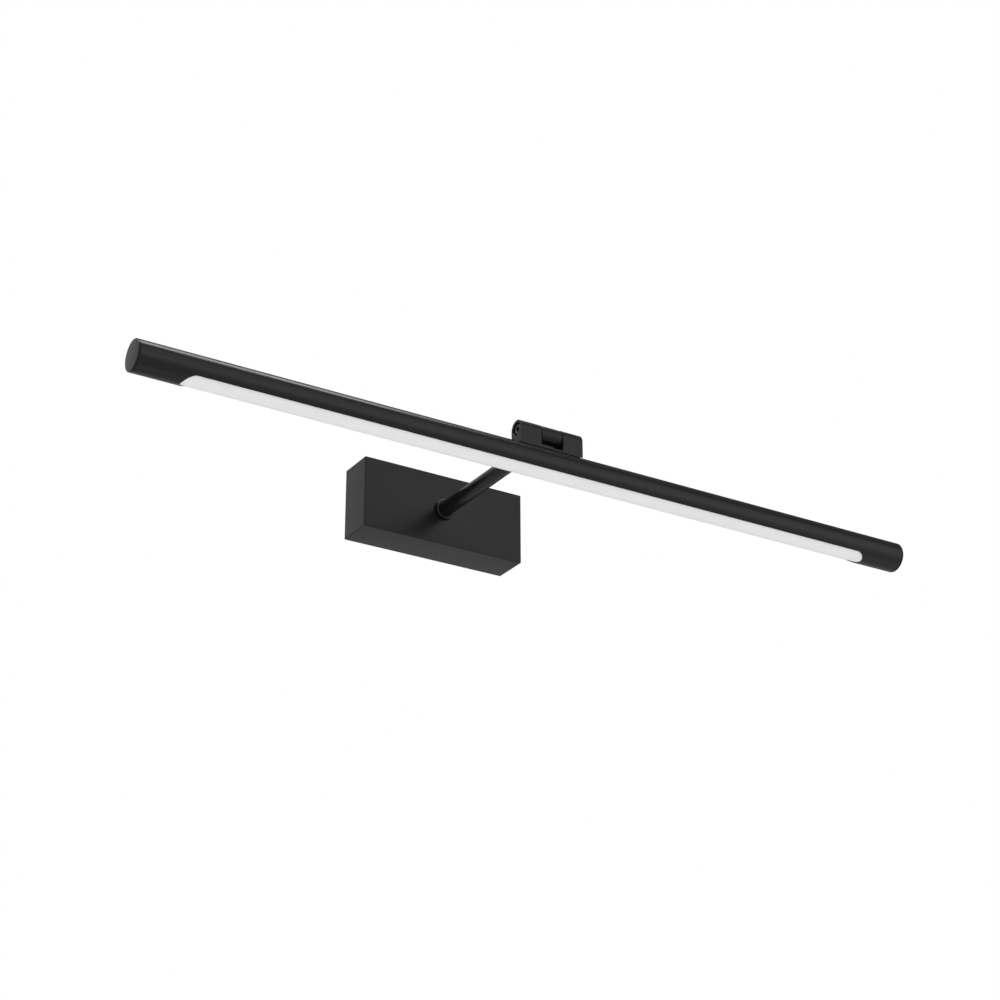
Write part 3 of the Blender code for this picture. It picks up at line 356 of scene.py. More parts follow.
def opal_acrylic(name, tint):
    """Satin opal acrylic, lit through from below its skin."""
    material, tree, shader, place = start_finish(name, tint, 0.42)
    shader.inputs["IOR"].default_value = 1.49
    shader.inputs["Subsurface Weight"].default_value = 0.25
    shader.inputs["Subsurface Radius"].default_value = (1.0, 1.0, 1.0)
    shader.inputs["Subsurface Scale"].default_value = 1.2 * MM
    cloud = noise(tree, place, 60.0, detail=3.0)
    fine = noise(tree, place, 1500.0)
    mottle(tree, shader, cloud, tint, 0.985, 1.015)
    roughen(tree, shader, fine, 0.38, 0.48)
    bumped(tree, shader, fine, 0.01 * MM, 0.4)
    return material


def plated_steel(name, tint):
    """Bright zinc plate over rolled sheet: long fine rolling lines and cloudy passivation."""
    material, tree, shader, place = start_finish(name, tint, 0.35, metallic=1.0)
    lines = noise(tree, place, 300.0, detail=5.0, stretch=(0.06, 1.0, 6.0))
    cloud = noise(tree, place, 90.0, detail=5.0)
    mottle(tree, shader, cloud, tint, 0.8, 1.12)
    patchy = summed(tree, cloud, 0.5, ranged(tree, lines, 0.0, 0.5))
    roughen(tree, shader, patchy, 0.26, 0.46)
    bumped(tree, shader, lines, 0.01 * MM, 0.5)
    return material


def blackened_steel(name, tint):
    """Oiled black oxide on steel, with bright spots worn along the edges."""
    material, tree, shader, place = start_finish(name, tint, 0.36, metallic=1.0)
    fine = noise(tree, place, 1800.0, detail=4.0)
    cloud = noise(tree, place, 220.0)
    wear_and_highlight_mask = wear_and_highlight(tree)
    mottled = blended(tree, ranged(tree, cloud, 0.0, 1.0), scaled(tint, 0.75), scaled(tint, 1.3))
    tree.links.new(blended(tree, wear_and_highlight_mask, mottled, scaled(tint, 2.6)), shader.inputs["Base Color"])
    roughen(tree, shader, fine, 0.3, 0.44)
    bumped(tree, shader, fine, 0.01 * MM, 0.5)
    return material


def bare_metal(name, tint, stretch):
    """Bare machined or extruded metal, with its tool lines drawn out across the stretch."""
    material, tree, shader, place = start_finish(name, tint, 0.34, metallic=1.0)
    lines = noise(tree, place, 500.0, detail=5.0, stretch=stretch)
    cloud = noise(tree, place, 120.0)
    mottle(tree, shader, lines, tint, 0.88, 1.06)
    roughen(tree, shader, cloud, 0.27, 0.42)
    bumped(tree, shader, lines, 0.012 * MM, 0.6)
    return material


def moulded_plastic(name, tint, roughness=0.45):
    """Injection-moulded plastic with a spark-eroded skin and faint flow marks."""
    material, tree, shader, place = start_finish(name, tint, roughness)
    skin = noise(tree, place, 2600.0, detail=2.0)
    flow = noise(tree, place, 70.0, detail=4.0, stretch=(0.4, 1.0, 1.0))
    mottle(tree, shader, flow, tint, 0.92, 1.06)
    roughen(tree, shader, skin, roughness - 0.06, roughness + 0.08)
    bumped(tree, shader, skin, 0.015 * MM, 0.6)
    return material


def solder_mask(name, tint):
    """Glossy solder mask over copper tracks, which stand up a little and show through paler."""
    material, tree, shader, place = start_finish(name, tint, 0.3)
    shader.inputs["Coat Weight"].default_value = 0.3
    tracks = add_node(
        tree,
        "ShaderNodeTexBrick",
        {
            "Scale": 120.0,
            "Mortar Size": 0.12,
            "Mortar Smooth": 0.3,
            "Mortar": WHITE,
            "Color1": BLACK,
            "Color2": BLACK,
        },
    )
    tree.links.new(place, tracks.inputs["Vector"])
    grain = noise(tree, place, 900.0)
    tree.links.new(
        blended(tree, tracks.outputs["Color"], tint, scaled(tint, 1.2)), shader.inputs["Base Color"]
    )
    roughen(tree, shader, grain, 0.24, 0.38)
    bumped(tree, shader, summed(tree, tracks.outputs["Fac"], 1.0, grain), 0.02 * MM, 0.6)
    return material


def cable_sleeve(name, tint, stripe=None):
    """Extruded sleeve with a fine grain, and a second colour in bands if it has one."""
    material, tree, shader, place = start_finish(name, tint, 0.48)
    fine = noise(tree, place, 1600.0)
    cloud = noise(tree, place, 140.0)
    painted = blended(tree, ranged(tree, cloud, 0.0, 1.0), scaled(tint, 0.88), scaled(tint, 1.1))
    if stripe is not None:
        bands = add_node(
            tree, "ShaderNodeTexWave", {"Scale": 110.0, "Distortion": 0.4}, bands_direction="DIAGONAL"
        )
        tree.links.new(place, bands.inputs["Vector"])
        painted = blended(tree, ranged(tree, bands.outputs["Fac"], 0.0, 1.0), painted, stripe)
    tree.links.new(painted, shader.inputs["Base Color"])
    roughen(tree, shader, cloud, 0.42, 0.55)
    bumped(tree, shader, fine, 0.015 * MM, 0.5)
    return material


def moulded_rubber(name, tint):
    """Dull rubber with a dusty bloom."""
    material, tree, shader, place = start_finish(name, tint, 0.75)
    bloom = noise(tree, place, 250.0, detail=5.0)
    fine = noise(tree, place, 2000.0)
    mottle(tree, shader, bloom, tint, 0.8, 1.5)
    roughen(tree, shader, bloom, 0.68, 0.86)
    bumped(tree, shader, fine, 0.02 * MM, 0.6)
    return material


def studio_floor(name, tint, glow):
    """Pale painted floor, all but even, with a glow of its own that keeps it pale under the soft light."""
    material, tree, shader, place = start_finish(name, tint, 0.7)
    shader.inputs["Emission Color"].default_value = (*tint, 1.0)
    shader.inputs["Emission Strength"].default_value = glow
    cloud = noise(tree, place, 2.5, detail=5.0)
    mottle(tree, shader, cloud, tint, 0.97, 1.02)
    roughen(tree, shader, cloud, 0.62, 0.78)
    bumped(tree, shader, noise(tree, place, 400.0), 0.05 * MM, 0.3)
    return material


def make_finishes(colours):
    """Every finish, under the record's slot names."""
    return {
        "matt_black": powder_coat("black powder coat", colours.black, colours.black_roughness),
        "tube_black": powder_coat("black tube coat", colours.tube_black, colours.black_roughness),
        "opal": opal_acrylic("opal acrylic", colours.opal),
        "zinc": plated_steel("zinc-plated steel", colours.zinc),
        "black_screw": blackened_steel("blackened steel", colours.black_screw),
        "aluminium": bare_metal("extruded aluminium", colours.aluminium, (0.05, 1.0, 1.0)),
        "brass": bare_metal("turned brass", colours.brass, (1.0, 1.0, 1.0)),
        "nylon": moulded_plastic("natural nylon", colours.nylon),
        "board_white": solder_mask("white solder mask", colours.board_white),
        "board_green": solder_mask("green solder mask", colours.board_green),
        "case_white": moulded_plastic("white moulded case", colours.case_white),
        "dark_plastic": moulded_plastic("dark acetal", colours.dark_plastic, 0.5),
        "lead_sleeve": cable_sleeve("grey cable sleeve", colours.lead_sleeve),
        "earth_sleeve": cable_sleeve("green and yellow sleeve", colours.earth_green, colours.earth_yellow),
        "grommet_rubber": moulded_rubber("grommet rubber", colours.rubber),
    }


def finish_of(slot):
    """The finish for a slot of the record, made with all the others the first time one is asked for."""
    if not FINISHES:
        FINISHES.update(make_finishes(bpy.context.scene.picture_light_finishes))
    return FINISHES[slot]


# ---- outlines ----


def arc(centre, radius, start, end, steps):
    """Points on an arc, from one angle to another, in degrees."""
    points = []
    for step in range(steps + 1):
        angle = math.radians(start + (end - start) * step / steps)
        points.append((centre[0] + radius * math.cos(angle), centre[1] + radius * math.sin(angle)))
    return points


def rounded(corners, closed=False, steps=5):
    """The line through (x, y, radius) corners, each turned into an arc of its radius."""
    count = len(corners)
    points = []
    for index, (x, y, radius) in enumerate(corners):
        corner = Vector((x, y))
        at_end = not closed and index in (0, count - 1)
        if radius <= 0 or at_end:
            points.append((x, y))
            continue
        before = (Vector(corners[index - 1][:2]) - corner).normalized()
        after = (Vector(corners[(index + 1) % count][:2]) - corner).normalized()
        half = before.angle(after) / 2
        centre = corner + (before + after).normalized() * radius / math.sin(half)
        first = corner + before * radius / math.tan(half) - centre
        last = corner + after * radius / math.tan(half) - centre
        turn = first.angle_signed(last)
        for step in range(steps + 1):
            angle = -turn * step / steps
            spun = Matrix.Rotation(angle, 2) @ first
            points.append(tuple(centre + spun))
    return points


def thread_profile(radius, top, bottom, pitch, depth):
    """The outer line of a thread, from its top height down to its bottom height."""
    turns = int((top - bottom) / pitch)
    points = []
    for turn in range(turns):
        height = top - turn * pitch
        points += [(radius, height), (radius - depth, height - pitch / 2)]
    rim = 0.2 * pitch
    points.append((radius, bottom + rim))
    return points


# ---- meshes ----


def mesh_box(low, high):
    bm = bmesh.new()
    bmesh.ops.create_cube(bm, size=1.0)
    bmesh.ops.scale(bm, vec=Vector(high) - Vector(low), verts=bm.verts)
    bmesh.ops.translate(bm, vec=(Vector(high) + Vector(low)) / 2, verts=bm.verts)
    return bm


def turned_to(axis):
    """The rotation that takes +Z to a signed axis such as "-X"."""
    turns = {
        "+X": Matrix.Rotation(math.pi / 2, 3, "Y"),
        "-X": Matrix.Rotation(-math.pi / 2, 3, "Y"),
        "+Y": Matrix.Rotation(-math.pi / 2, 3, "X"),
        "-Y": Matrix.Rotation(math.pi / 2, 3, "X"),
    }
    return turns.get(axis, Matrix.Identity(3))


def turned(profile, place, axis, segments=64, ring=False):
    """A turned solid: (radius, height) points spun about an axis through place.

    A ring's profile is a closed line.
    """
    bm = bmesh.new()
    verts = [bm.verts.new((max(radius, 0.0), 0.0, height)) for radius, height in profile]
    edges = [bm.edges.new(pair) for pair in zip(verts, verts[1:])]
    if ring:
        edges.append(bm.edges.new((verts[-1], verts[0])))
    bmesh.ops.spin(
        bm, geom=verts + edges, cent=(0, 0, 0), axis=(0, 0, 1), angle=ROUND, steps=segments, use_merge=True
    )
    bmesh.ops.remove_doubles(bm, verts=bm.verts, dist=0.0001 * MM)
    bmesh.ops.rotate(bm, matrix=turned_to(axis), verts=bm.verts)
    bmesh.ops.translate(bm, vec=Vector(place), verts=bm.verts)
    bmesh.ops.recalc_face_normals(bm, faces=bm.faces)
    return bm


def rod(radius, place, span, axis, segments=64):
    """A plain round bar, for cutting and joining."""
    return turned([(0, 0), (radius, 0), (radius, span), (0, span)], place, axis, segments)


def prism(outline, start, end, axis):
    """An outline drawn out along an axis: (y, z) points for X, and (x, y) points for Z."""
    place = {"X": lambda u, v, w: (w, u, v), "Z": lambda u, v, w: (u, v, w)}[axis]
    bm = bmesh.new()
    face = bm.faces.new([bm.verts.new(place(u, v, start)) for u, v in outline])
    grown = bmesh.ops.extrude_face_region(bm, geom=[face])["geom"]
    shift = Vector(place(0.0, 0.0, end)) - Vector(place(0.0, 0.0, start))
    far_end = [item for item in grown if isinstance(item, bmesh.types.BMVert)]
    bmesh.ops.translate(bm, vec=shift, verts=far_end)
    bmesh.ops.recalc_face_normals(bm, faces=bm.faces)
    return bm


def stadium(span, width, centre=(0.0, 0.0), steps=24):
    """A round-ended slot outline with its long side along the first axis."""
    reach = (span - width) / 2
    right = arc((centre[0] + reach, centre[1]), width / 2, -90, 90, steps)
    left = arc((centre[0] - reach, centre[1]), width / 2, 90, 270, steps)
    return right + left


def hex_corner(across_flats):
    """From a hexagon's middle to its corners."""
    return across_flats / 2 / math.cos(math.pi / 6)


def hexagon(across_flats, place, span, axis):
    """A hexagonal bar, for cutting a socket."""
    return rod(hex_corner(across_flats), place, span, axis, 6)


def round_off(bm, wanted, width, segments=4):
    """Rounds the edges that a test picks out."""
    edges = [edge for edge in bm.edges if edge.is_manifold and wanted(edge)]
    bmesh.ops.bevel(
        bm,
        geom=edges,
        offset=width,
        offset_type="OFFSET",
        segments=segments,
        profile=0.5,
        affect="EDGES",
        clamp_overlap=True,
    )
    return bm


def sharp(edge, degrees=50.0):
    return edge.is_convex and edge.calc_face_angle(0.0) > math.radians(degrees)


def as_object(bm, name="scratch"):
    mesh = bpy.data.meshes.new(name)
    bm.to_mesh(mesh)
    bm.free()
    obj = bpy.data.objects.new(name, mesh)
    bpy.context.scene.collection.objects.link(obj)
    return obj


def combined(body, others, operation):
    """The body with the other meshes cut out of it or joined to it."""
    obj = as_object(body)
    helpers = [as_object(other) for other in others]
    for helper in helpers:
        modifier = obj.modifiers.new("Combine", "BOOLEAN")
        modifier.operation = operation
        modifier.object = helper
        modifier.solver = "EXACT"
    bpy.context.view_layer.update()
    graph = bpy.context.evaluated_depsgraph_get()
    bm = bmesh.new()
    bm.from_mesh(obj.evaluated_get(graph).to_mesh())
    obj.evaluated_get(graph).to_mesh_clear()
    for scratch in [obj, *helpers]:
        mesh = scratch.data
        bpy.data.objects.remove(scratch)
        bpy.data.meshes.remove(mesh)
    if not bm.faces:
        raise RuntimeError("a cut left nothing of its piece")
    bmesh.ops.remove_doubles(bm, verts=bm.verts, dist=0.0005 * MM)
    bmesh.ops.dissolve_degenerate(bm, edges=bm.edges, dist=0.0005 * MM)
    return bm


def carved(body, *cutters):
    return combined(body, cutters, "DIFFERENCE")


def joined(body, *others):
    return combined(body, others, "UNION")


def mark_wear_and_highlight(bm):
    """Marks the points on outer edges and roundings, where a coat is rubbed first and the powder coat gets its
    painted highlight.
    """
    layer = bm.verts.layers.float.new("edge_wear_and_highlight")
    for edge in bm.edges:
        if edge.is_manifold and edge.is_convex and edge.calc_face_angle(0.0) > WEAR_AND_HIGHLIGHT_ANGLE:
            for vert in edge.verts:
                vert[layer] = 1.0


def place_piece(name, bm, slot, body, *nodes):
    """Puts a finished mesh in the scene, on its body, in place of the frame's nodes."""
    mark_wear_and_highlight(bm)
    mesh = bpy.data.meshes.new(name)
    bm.to_mesh(mesh)
    bm.free()
    mesh.shade_smooth()
    mesh.set_sharp_from_angle(angle=CREASE_ANGLE)
    mesh.materials.append(finish_of(slot))
    obj = bpy.data.objects.new(name, mesh)
    bpy.context.scene.collection.objects.link(obj)
    shading = obj.modifiers.new("Even shading", "WEIGHTED_NORMAL")
    shading.keep_sharp = True
    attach(obj, body)
    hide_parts(*nodes)
    return obj


def keep_node(name, slot, edge):
    """Keeps a node of the frame, with its finish and softened edges."""
    node = frame["nodes"][name]
    node.data.materials.clear()
    node.data.materials.append(finish_of(slot))
    weld = node.modifiers.new("Weld", "WELD")
    weld.merge_threshold = 0.001 * MM
    if edge > 0:
        bevel = node.modifiers.new("Edges", "BEVEL")
        bevel.width = edge
        bevel.segments = 2
        bevel.limit_method = "ANGLE"
        bevel.angle_limit = math.radians(40.0)


def frame_slot(node):
    """The material slot that the record gives a node."""
    for part in frame["record"]["subparts"]:
        if part["node"] == node:
            return part["material_slot"]
    raise RuntimeError(f"the record has no slot for {node}")


def middle(node):
    low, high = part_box(node)
    return (low + high) / 2


# ---- the wall base ----


def make_base_cover(sizes):
    """Folded sheet cover, open at the wall, with its arm hole and two screw holes."""
    sheet = sizes.cover_sheet
    bm = mesh_box(COVER_LOW, COVER_HIGH)
    back = COVER_HIGH.y - NEAR
    round_off(bm, lambda edge: min(vert.co.y for vert in edge.verts) < back, sizes.cover_corner, 5)
    inset = Vector((sheet, sheet, sheet))
    hollow_high = (COVER_HIGH.x - sheet, COVER_HIGH.y + THROUGH, COVER_HIGH.z - sheet)
    cutters = [mesh_box(COVER_LOW + inset, hollow_high)]
    start = (0.0, COVER_LOW.y - THROUGH, PIVOT.z)
    cutters.append(rod(ARM_RADIUS + sizes.hole_room, start, sheet + 2 * THROUGH, "+Y"))
    for side in ("left", "right"):
        screw = middle(f"cover_screw_{side}")
        foot = (screw.x, screw.y, COVER_HIGH.z - sheet - THROUGH)
        cutters.append(rod(SCREW_HOLE, foot, sheet + 2 * THROUGH, "+Z", 40))
    bm = carved(bm, *cutters)
    round_off(bm, sharp, CUT_EDGE, 2)
    place_piece("cover_shell", bm, "matt_black", "base", "base_cover")


def make_wall_bracket(sizes):
    """Zinc-plated channel that the cover slips over, with its wall slots, cable hole and screw holes."""
    sheet = sizes.bracket_sheet
    outer = sizes.bracket_bend
    tightest = 0.2 * MM
    inner = max(outer - sheet, tightest)
    low, high = BRACKET_LOW, BRACKET_HIGH
    outline = rounded(
        [
            (high.y, low.z, outer),
            (high.y, high.z, outer),
            (low.y, high.z, 0.0),
            (low.y, high.z - sheet, 0.0),
            (high.y - sheet, high.z - sheet, inner),
            (high.y - sheet, low.z + sheet, inner),
            (low.y, low.z + sheet, 0.0),
            (low.y, low.z, 0.0),
        ],
        closed=True,
    )
    bm = prism(outline, low.x, high.x, "X")
    cutters = []
    for x in (low.x + sizes.wall_slot_inset, high.x - sizes.wall_slot_inset):
        slot = prism(stadium(sizes.wall_slot_length, sizes.wall_slot_width), -2 * sheet, 2 * sheet, "Z")
        bmesh.ops.rotate(slot, matrix=Matrix.Rotation(math.pi / 2, 3, "X"), verts=slot.verts)
        bmesh.ops.translate(slot, vec=(x, 0, 0), verts=slot.verts)
        cutters.append(slot)
    grommet = middle("cable_grommet")
    cable_hole = 6.0 * MM
    cutters.append(rod(cable_hole, (grommet.x, -2 * sheet, grommet.z), 4 * sheet, "+Y"))
    earth = middle("earth_screw")
    earth_hole = 2.15 * MM
    cutters.append(rod(earth_hole, (earth.x, -2 * sheet, earth.z), 4 * sheet, "+Y", 32))
    for side in ("left", "right"):
        screw = middle(f"cover_screw_{side}")
        cutters.append(rod(SCREW_HOLE, (screw.x, screw.y, high.z - 2 * sheet), 4 * sheet, "+Z", 32))
    bm = carved(bm, *cutters)
    round_off(bm, sharp, CUT_EDGE, 2)
    place_piece("bracket_channel", bm, "zinc", "base", "wall_bracket")


def cross_recess(place, axis, size, depth):
    """Two crossed tapering blades, for a screw's cross recess."""
    half_width = size * 0.14
    taper = 0.35
    blades = []
    for turn in (0.0, math.pi / 2):
        bm = mesh_box((-size / 2, -half_width, -depth), (size / 2, half_width, depth))
        for vert in bm.verts:
            if vert.co.z < 0:
                vert.co.x *= taper
        bmesh.ops.rotate(bm, matrix=Matrix.Rotation(turn, 3, "Z"), verts=bm.verts)
        bmesh.ops.rotate(bm, matrix=turned_to(axis), verts=bm.verts)
        bmesh.ops.translate(bm, vec=Vector(place), verts=bm.verts)
        blades.append(bm)
    return blades


def make_cover_screws():
    """Blackened pan-head screws with a cross recess and a cut thread."""
    head, crown, shank = 1.6 * MM, 0.9 * MM, 1.5 * MM
    plain, pitch, groove = 1.2 * MM, 0.5 * MM, 0.28 * MM
    recess, recess_depth = 3.0 * MM, 1.1 * MM
    for side in ("left", "right"):
        node = f"cover_screw_{side}"
        low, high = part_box(node)
        radius = (high.x - low.x) / 2
        tall = high.z - low.z
        under = tall - head
        profile = rounded(
            [
                (0.0, tall, 0.0),
                (radius, tall, crown),
                (radius, under, 0.2 * MM),
                (shank, under, 0.0),
            ]
        )
        profile += thread_profile(shank, under - plain, 0.0, pitch, groove)
        profile.append((0.0, 0.0))
        centre = middle(node)
        bm = turned(profile, (centre.x, centre.y, low.z), "+Z", 48)
        bm = carved(bm, *cross_recess((centre.x, centre.y, high.z), "+Z", recess, recess_depth))
        place_piece(f"{node}_cut", bm, "black_screw", "base", node)


def make_grommet():
    """Rubber ring that lines the cable hole, with a soft rolled flange inside the base."""
    centre = middle("cable_grommet")
    outer = (GROMMET_HIGH.x - GROMMET_LOW.x) / 2
    deep = GROMMET_HIGH.y - GROMMET_LOW.y
    body = 5.85 * MM
    bore = 3.5 * MM
    flange = 1.2 * MM
    profile = rounded(
        [
            (bore, deep, 0.5 * MM),
            (outer, deep, 0.5 * MM),
            (outer, deep - flange, 0.3 * MM),
            (body, deep - flange, 0.15 * MM),
            (body, 0.0, 0.3 * MM),
            (bore, 0.0, 0.4 * MM),
        ],
        closed=True,
    )
    bm = turned(profile, (centre.x, GROMMET_HIGH.y, centre.z), "-Y", 64, ring=True)
    place_piece("grommet_ring", bm, "grommet_rubber", "base", "cable_grommet")


# ---- the arm ----


def make_arm(sizes):
    """Round arm tube with chamfered ends, and the collar where it leaves the base."""
    bore = sizes.arm_bore / 2
    span = ARM_HIGH.y - ARM_LOW.y
    edge = 0.3 * MM
    profile = [(bore + edge, 0.0), (bore, edge), (bore, span - edge), (bore + edge, span)]
    profile += [(ARM_RADIUS - edge, span), (ARM_RADIUS, span - edge)]
    profile += [(ARM_RADIUS, edge), (ARM_RADIUS - edge, 0.0)]
    bm = turned(profile, (PIVOT.x, ARM_LOW.y, PIVOT.z), "+Y", 72, ring=True)
    place_piece("arm_pipe", bm, "matt_black", "base", "arm_tube")
    radius = (COLLAR_HIGH.x - COLLAR_LOW.x) / 2
    thick = COLLAR_HIGH.y - COLLAR_LOW.y
    inner = ARM_RADIUS + sizes.hole_room
    profile = rounded(
        [
            (inner, 0.0, 0.0),
            (radius, 0.0, 0.1 * MM),
            (radius, thick, sizes.collar_edge),
            (inner, thick, 0.15 * MM),
        ],
        closed=True,
    )
    bm = turned(profile, (PIVOT.x, COLLAR_HIGH.y, PIVOT.z), "-Y", 96, ring=True)
    place_piece("collar_ring", bm, "matt_black", "base", "arm_collar")


def make_knuckle(sizes):
    """Barrel across the arm's end, with the boss and spigot that carry it."""
    half = (KNUCKLE_HIGH.x - KNUCKLE_LOW.x) / 2
    edge = 0.35 * MM
    profile = rounded(
        [(0.0, -half, 0.0), (BARREL_RADIUS, -half, edge), (BARREL_RADIUS, half, edge), (0.0, half, 0.0)]
    )
    barrel = turned(profile, PIVOT, "+X", 96)
    chamfer, lead_in = 0.3 * MM, 0.4 * MM
    boss_profile = [(0.0, 0.0), (ARM_RADIUS, 0.0)]
    boss_profile += [(ARM_RADIUS, sizes.arm_boss - chamfer), (ARM_RADIUS - chamfer, sizes.arm_boss)]
    spigot = sizes.arm_bore / 2 - sizes.hole_room
    spigot_end = KNUCKLE_HIGH.y - PIVOT.y
    boss_profile += [(spigot, sizes.arm_boss), (spigot, spigot_end - lead_in)]
    boss_profile += [(spigot - lead_in, spigot_end), (0.0, spigot_end)]
    boss = turned(boss_profile, PIVOT, "+Y", 72)
    bm = joined(barrel, boss)
    passage = rod(sizes.lead_passage / 2, PIVOT, spigot_end + THROUGH, "+Y", 40)
    bush_start = PIVOT - Vector((THROUGH, 0, 0))
    bush = rod(sizes.bush_diameter / 2 + sizes.hole_room, bush_start, half + 2 * THROUGH, "+X", 48)
    thread_start = PIVOT - Vector((half + THROUGH, 0, 0))
    thread = rod(sizes.pivot_screw / 2 + sizes.hole_room, thread_start, half + THROUGH, "+X", 40)
    bm = carved(bm, passage, bush, thread)
    place_piece("knuckle_barrel", bm, "matt_black", "base", "hinge_knuckle")


# ---- the hinge ----


def bore_cutter(sizes, side, through_radius):
    """A counterbore with a chamfered mouth and the smaller bore that goes on through the ear."""
    outside = FORK_HIGH.x
    radius = sizes.counterbore_diameter / 2
    lip = sizes.counterbore_lip
    deep = sizes.counterbore_depth
    ear = outside - sizes.hinge_gap / 2
    profile = [
        (0.0, -THROUGH),
        (radius + lip + THROUGH, -THROUGH),
        (radius, lip),
        (radius, deep),
        (through_radius, deep),
        (through_radius, ear + THROUGH),
        (0.0, ear + THROUGH),
    ]
    axis = {"left": "+X", "right": "-X"}[side]
    sign = {"left": -1, "right": 1}[side]
    return turned(profile, (sign * outside, PIVOT.y, PIVOT.z), axis, 72)


def make_fork(sizes):
    """Two round-topped ears and the thin saddle between them, in one casting fitted over the lamp tube."""
    half = FORK_HIGH.x
    deep = EAR_RADIUS
    drop = TUBE_CENTRE.z - PIVOT.z
    seat = TUBE_RADIUS + sizes.saddle_room
    spread = math.degrees(math.asin(deep / seat))
    crown = arc((PIVOT.y, PIVOT.z), deep, 0, 180, 48)
    foot = arc((PIVOT.y, PIVOT.z + drop), seat, 90 + spread, 90 - spread, 32)
    bm = prism(crown + foot, -half, half, "X")

    def around_ear(edge):
        across = abs(edge.verts[0].co.x - edge.verts[1].co.x)
        return sharp(edge, 60) and across < THROUGH

    round_off(bm, around_ear, sizes.ear_edge, 5)
    saddle = seat + sizes.saddle_sheet
    wide = deep + THROUGH
    reach = math.degrees(math.asin(wide / saddle))
    opening = arc((PIVOT.y, PIVOT.z + drop), saddle, 90 + reach, 90 - reach, 32)
    opening += [(PIVOT.y + wide, PIVOT.z + wide), (PIVOT.y - wide, PIVOT.z + wide)]
    gap = prism(opening, -sizes.hinge_gap / 2, sizes.hinge_gap / 2, "X")
    bm = carved(bm, gap)
    inner = sizes.hinge_gap / 2

    def around_gap(edge):
        inside = all(abs(abs(vert.co.x) - inner) < NEAR for vert in edge.verts)
        return inside and sharp(edge, 60)

    round_off(bm, around_gap, sizes.gap_edge, 3)
    cutters = [
        bore_cutter(sizes, "left", sizes.pivot_screw / 2 + sizes.hole_room),
        bore_cutter(sizes, "right", sizes.bush_diameter / 2 + sizes.hole_room),
    ]
    below = FORK_LOW.z - THROUGH
    passage = PIVOT.z - FORK_LOW.z + THROUGH
    cutters.append(rod(LEAD_HOLE, (LEAD_X, PIVOT.y, below), passage, "+Z", 40))
    tip_room = 0.4 * MM
    for side in ("left", "right"):
        screw_low, screw_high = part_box(f"hinge_screw_{side}")
        x = (screw_low.x + screw_high.x) / 2
        span = screw_high.z - FORK_LOW.z + THROUGH + tip_room
        cutters.append(rod(SCREW_HOLE, (x, PIVOT.y, below), span, "+Z", 40))
    bm = carved(bm, *cutters)
    place_piece("fork_casting", bm, "matt_black", "head", "hinge_fork")


def make_pivot_screw(sizes):
    """Socket screw in the left ear, threaded into the knuckle."""
    low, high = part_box("pivot_screw")
    radius = (high.z - low.z) / 2
    span = high.x - low.x
    head, plain = 3.0 * MM, 5.0 * MM
    pitch, groove = 0.7 * MM, 0.35 * MM
    socket_depth, mouth_rim, mouth_depth = 2.0 * MM, 0.15 * MM, 0.35 * MM
    shank = sizes.pivot_screw / 2
    profile = rounded(
        [
            (0.0, span, 0.0),
            (radius, span, 0.45 * MM),
            (radius, span - head, 0.15 * MM),
            (shank, span - head, 0.0),
        ]
    )
    profile += thread_profile(shank, span - head - plain, 0.0, pitch, groove)
    profile.append((0.0, 0.0))
    bm = turned(profile, (high.x, PIVOT.y, PIVOT.z), "-X", 72)
    start = (low.x - THROUGH, PIVOT.y, PIVOT.z)
    socket = hexagon(sizes.pivot_hex, start, THROUGH + socket_depth, "+X")
    mouth_radius = hex_corner(sizes.pivot_hex) + mouth_rim
    mouth_profile = [(0.0, -THROUGH), (mouth_radius + THROUGH, -THROUGH)]
    mouth_profile += [(mouth_radius - mouth_depth, mouth_depth), (0.0, mouth_depth)]
    mouth = turned(mouth_profile, (low.x, PIVOT.y, PIVOT.z), "+X", 48)
    bm = carved(bm, socket, mouth)
    place_piece("pivot_socket_screw", bm, "black_screw", "base", "pivot_screw")


def make_pivot_cap():
    """Plain cap that closes the right ear's counterbore."""
    low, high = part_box("pivot_cap")
    radius = (high.z - low.z) / 2
    span = high.x - low.x
    profile = rounded(
        [(0.0, span, 0.0), (radius, span, 0.5 * MM), (radius, 0.0, 0.2 * MM), (0.0, 0.0, 0.0)]
    )
    bm = turned(profile, (low.x, PIVOT.y, PIVOT.z), "+X", 72)
    place_piece("pivot_plug", bm, "matt_black", "head", "pivot_cap")


def make_drag_washers(sizes):
    """A thin washer between each ear and the knuckle."""
    edge = 0.08 * MM
    for side, bore in (("left", sizes.pivot_screw / 2), ("right", sizes.bush_diameter / 2)):
        node = f"friction_washer_{side}"
        low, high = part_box(node)
        outer = (high.z - low.z) / 2
        inner = bore + sizes.hole_room
        thick = high.x - low.x
        profile = rounded(
            [(inner, 0.0, edge), (outer, 0.0, edge), (outer, thick, edge), (inner, thick, edge)],
            closed=True,
            steps=2,
        )
        bm = turned(profile, (low.x, PIVOT.y, PIVOT.z), "+X", 64, ring=True)
        place_piece(f"drag_washer_{side}", bm, frame_slot(node), "head", node)


# ---- the lamp head ----

CROWN_STEPS = 8  # rings on an end cap's crowned face


def slot_length(sizes):
    """Length of the slot in the lamp tube's underside."""
    return CAP_HIGH.x * 2 - 2 * sizes.slot_margin


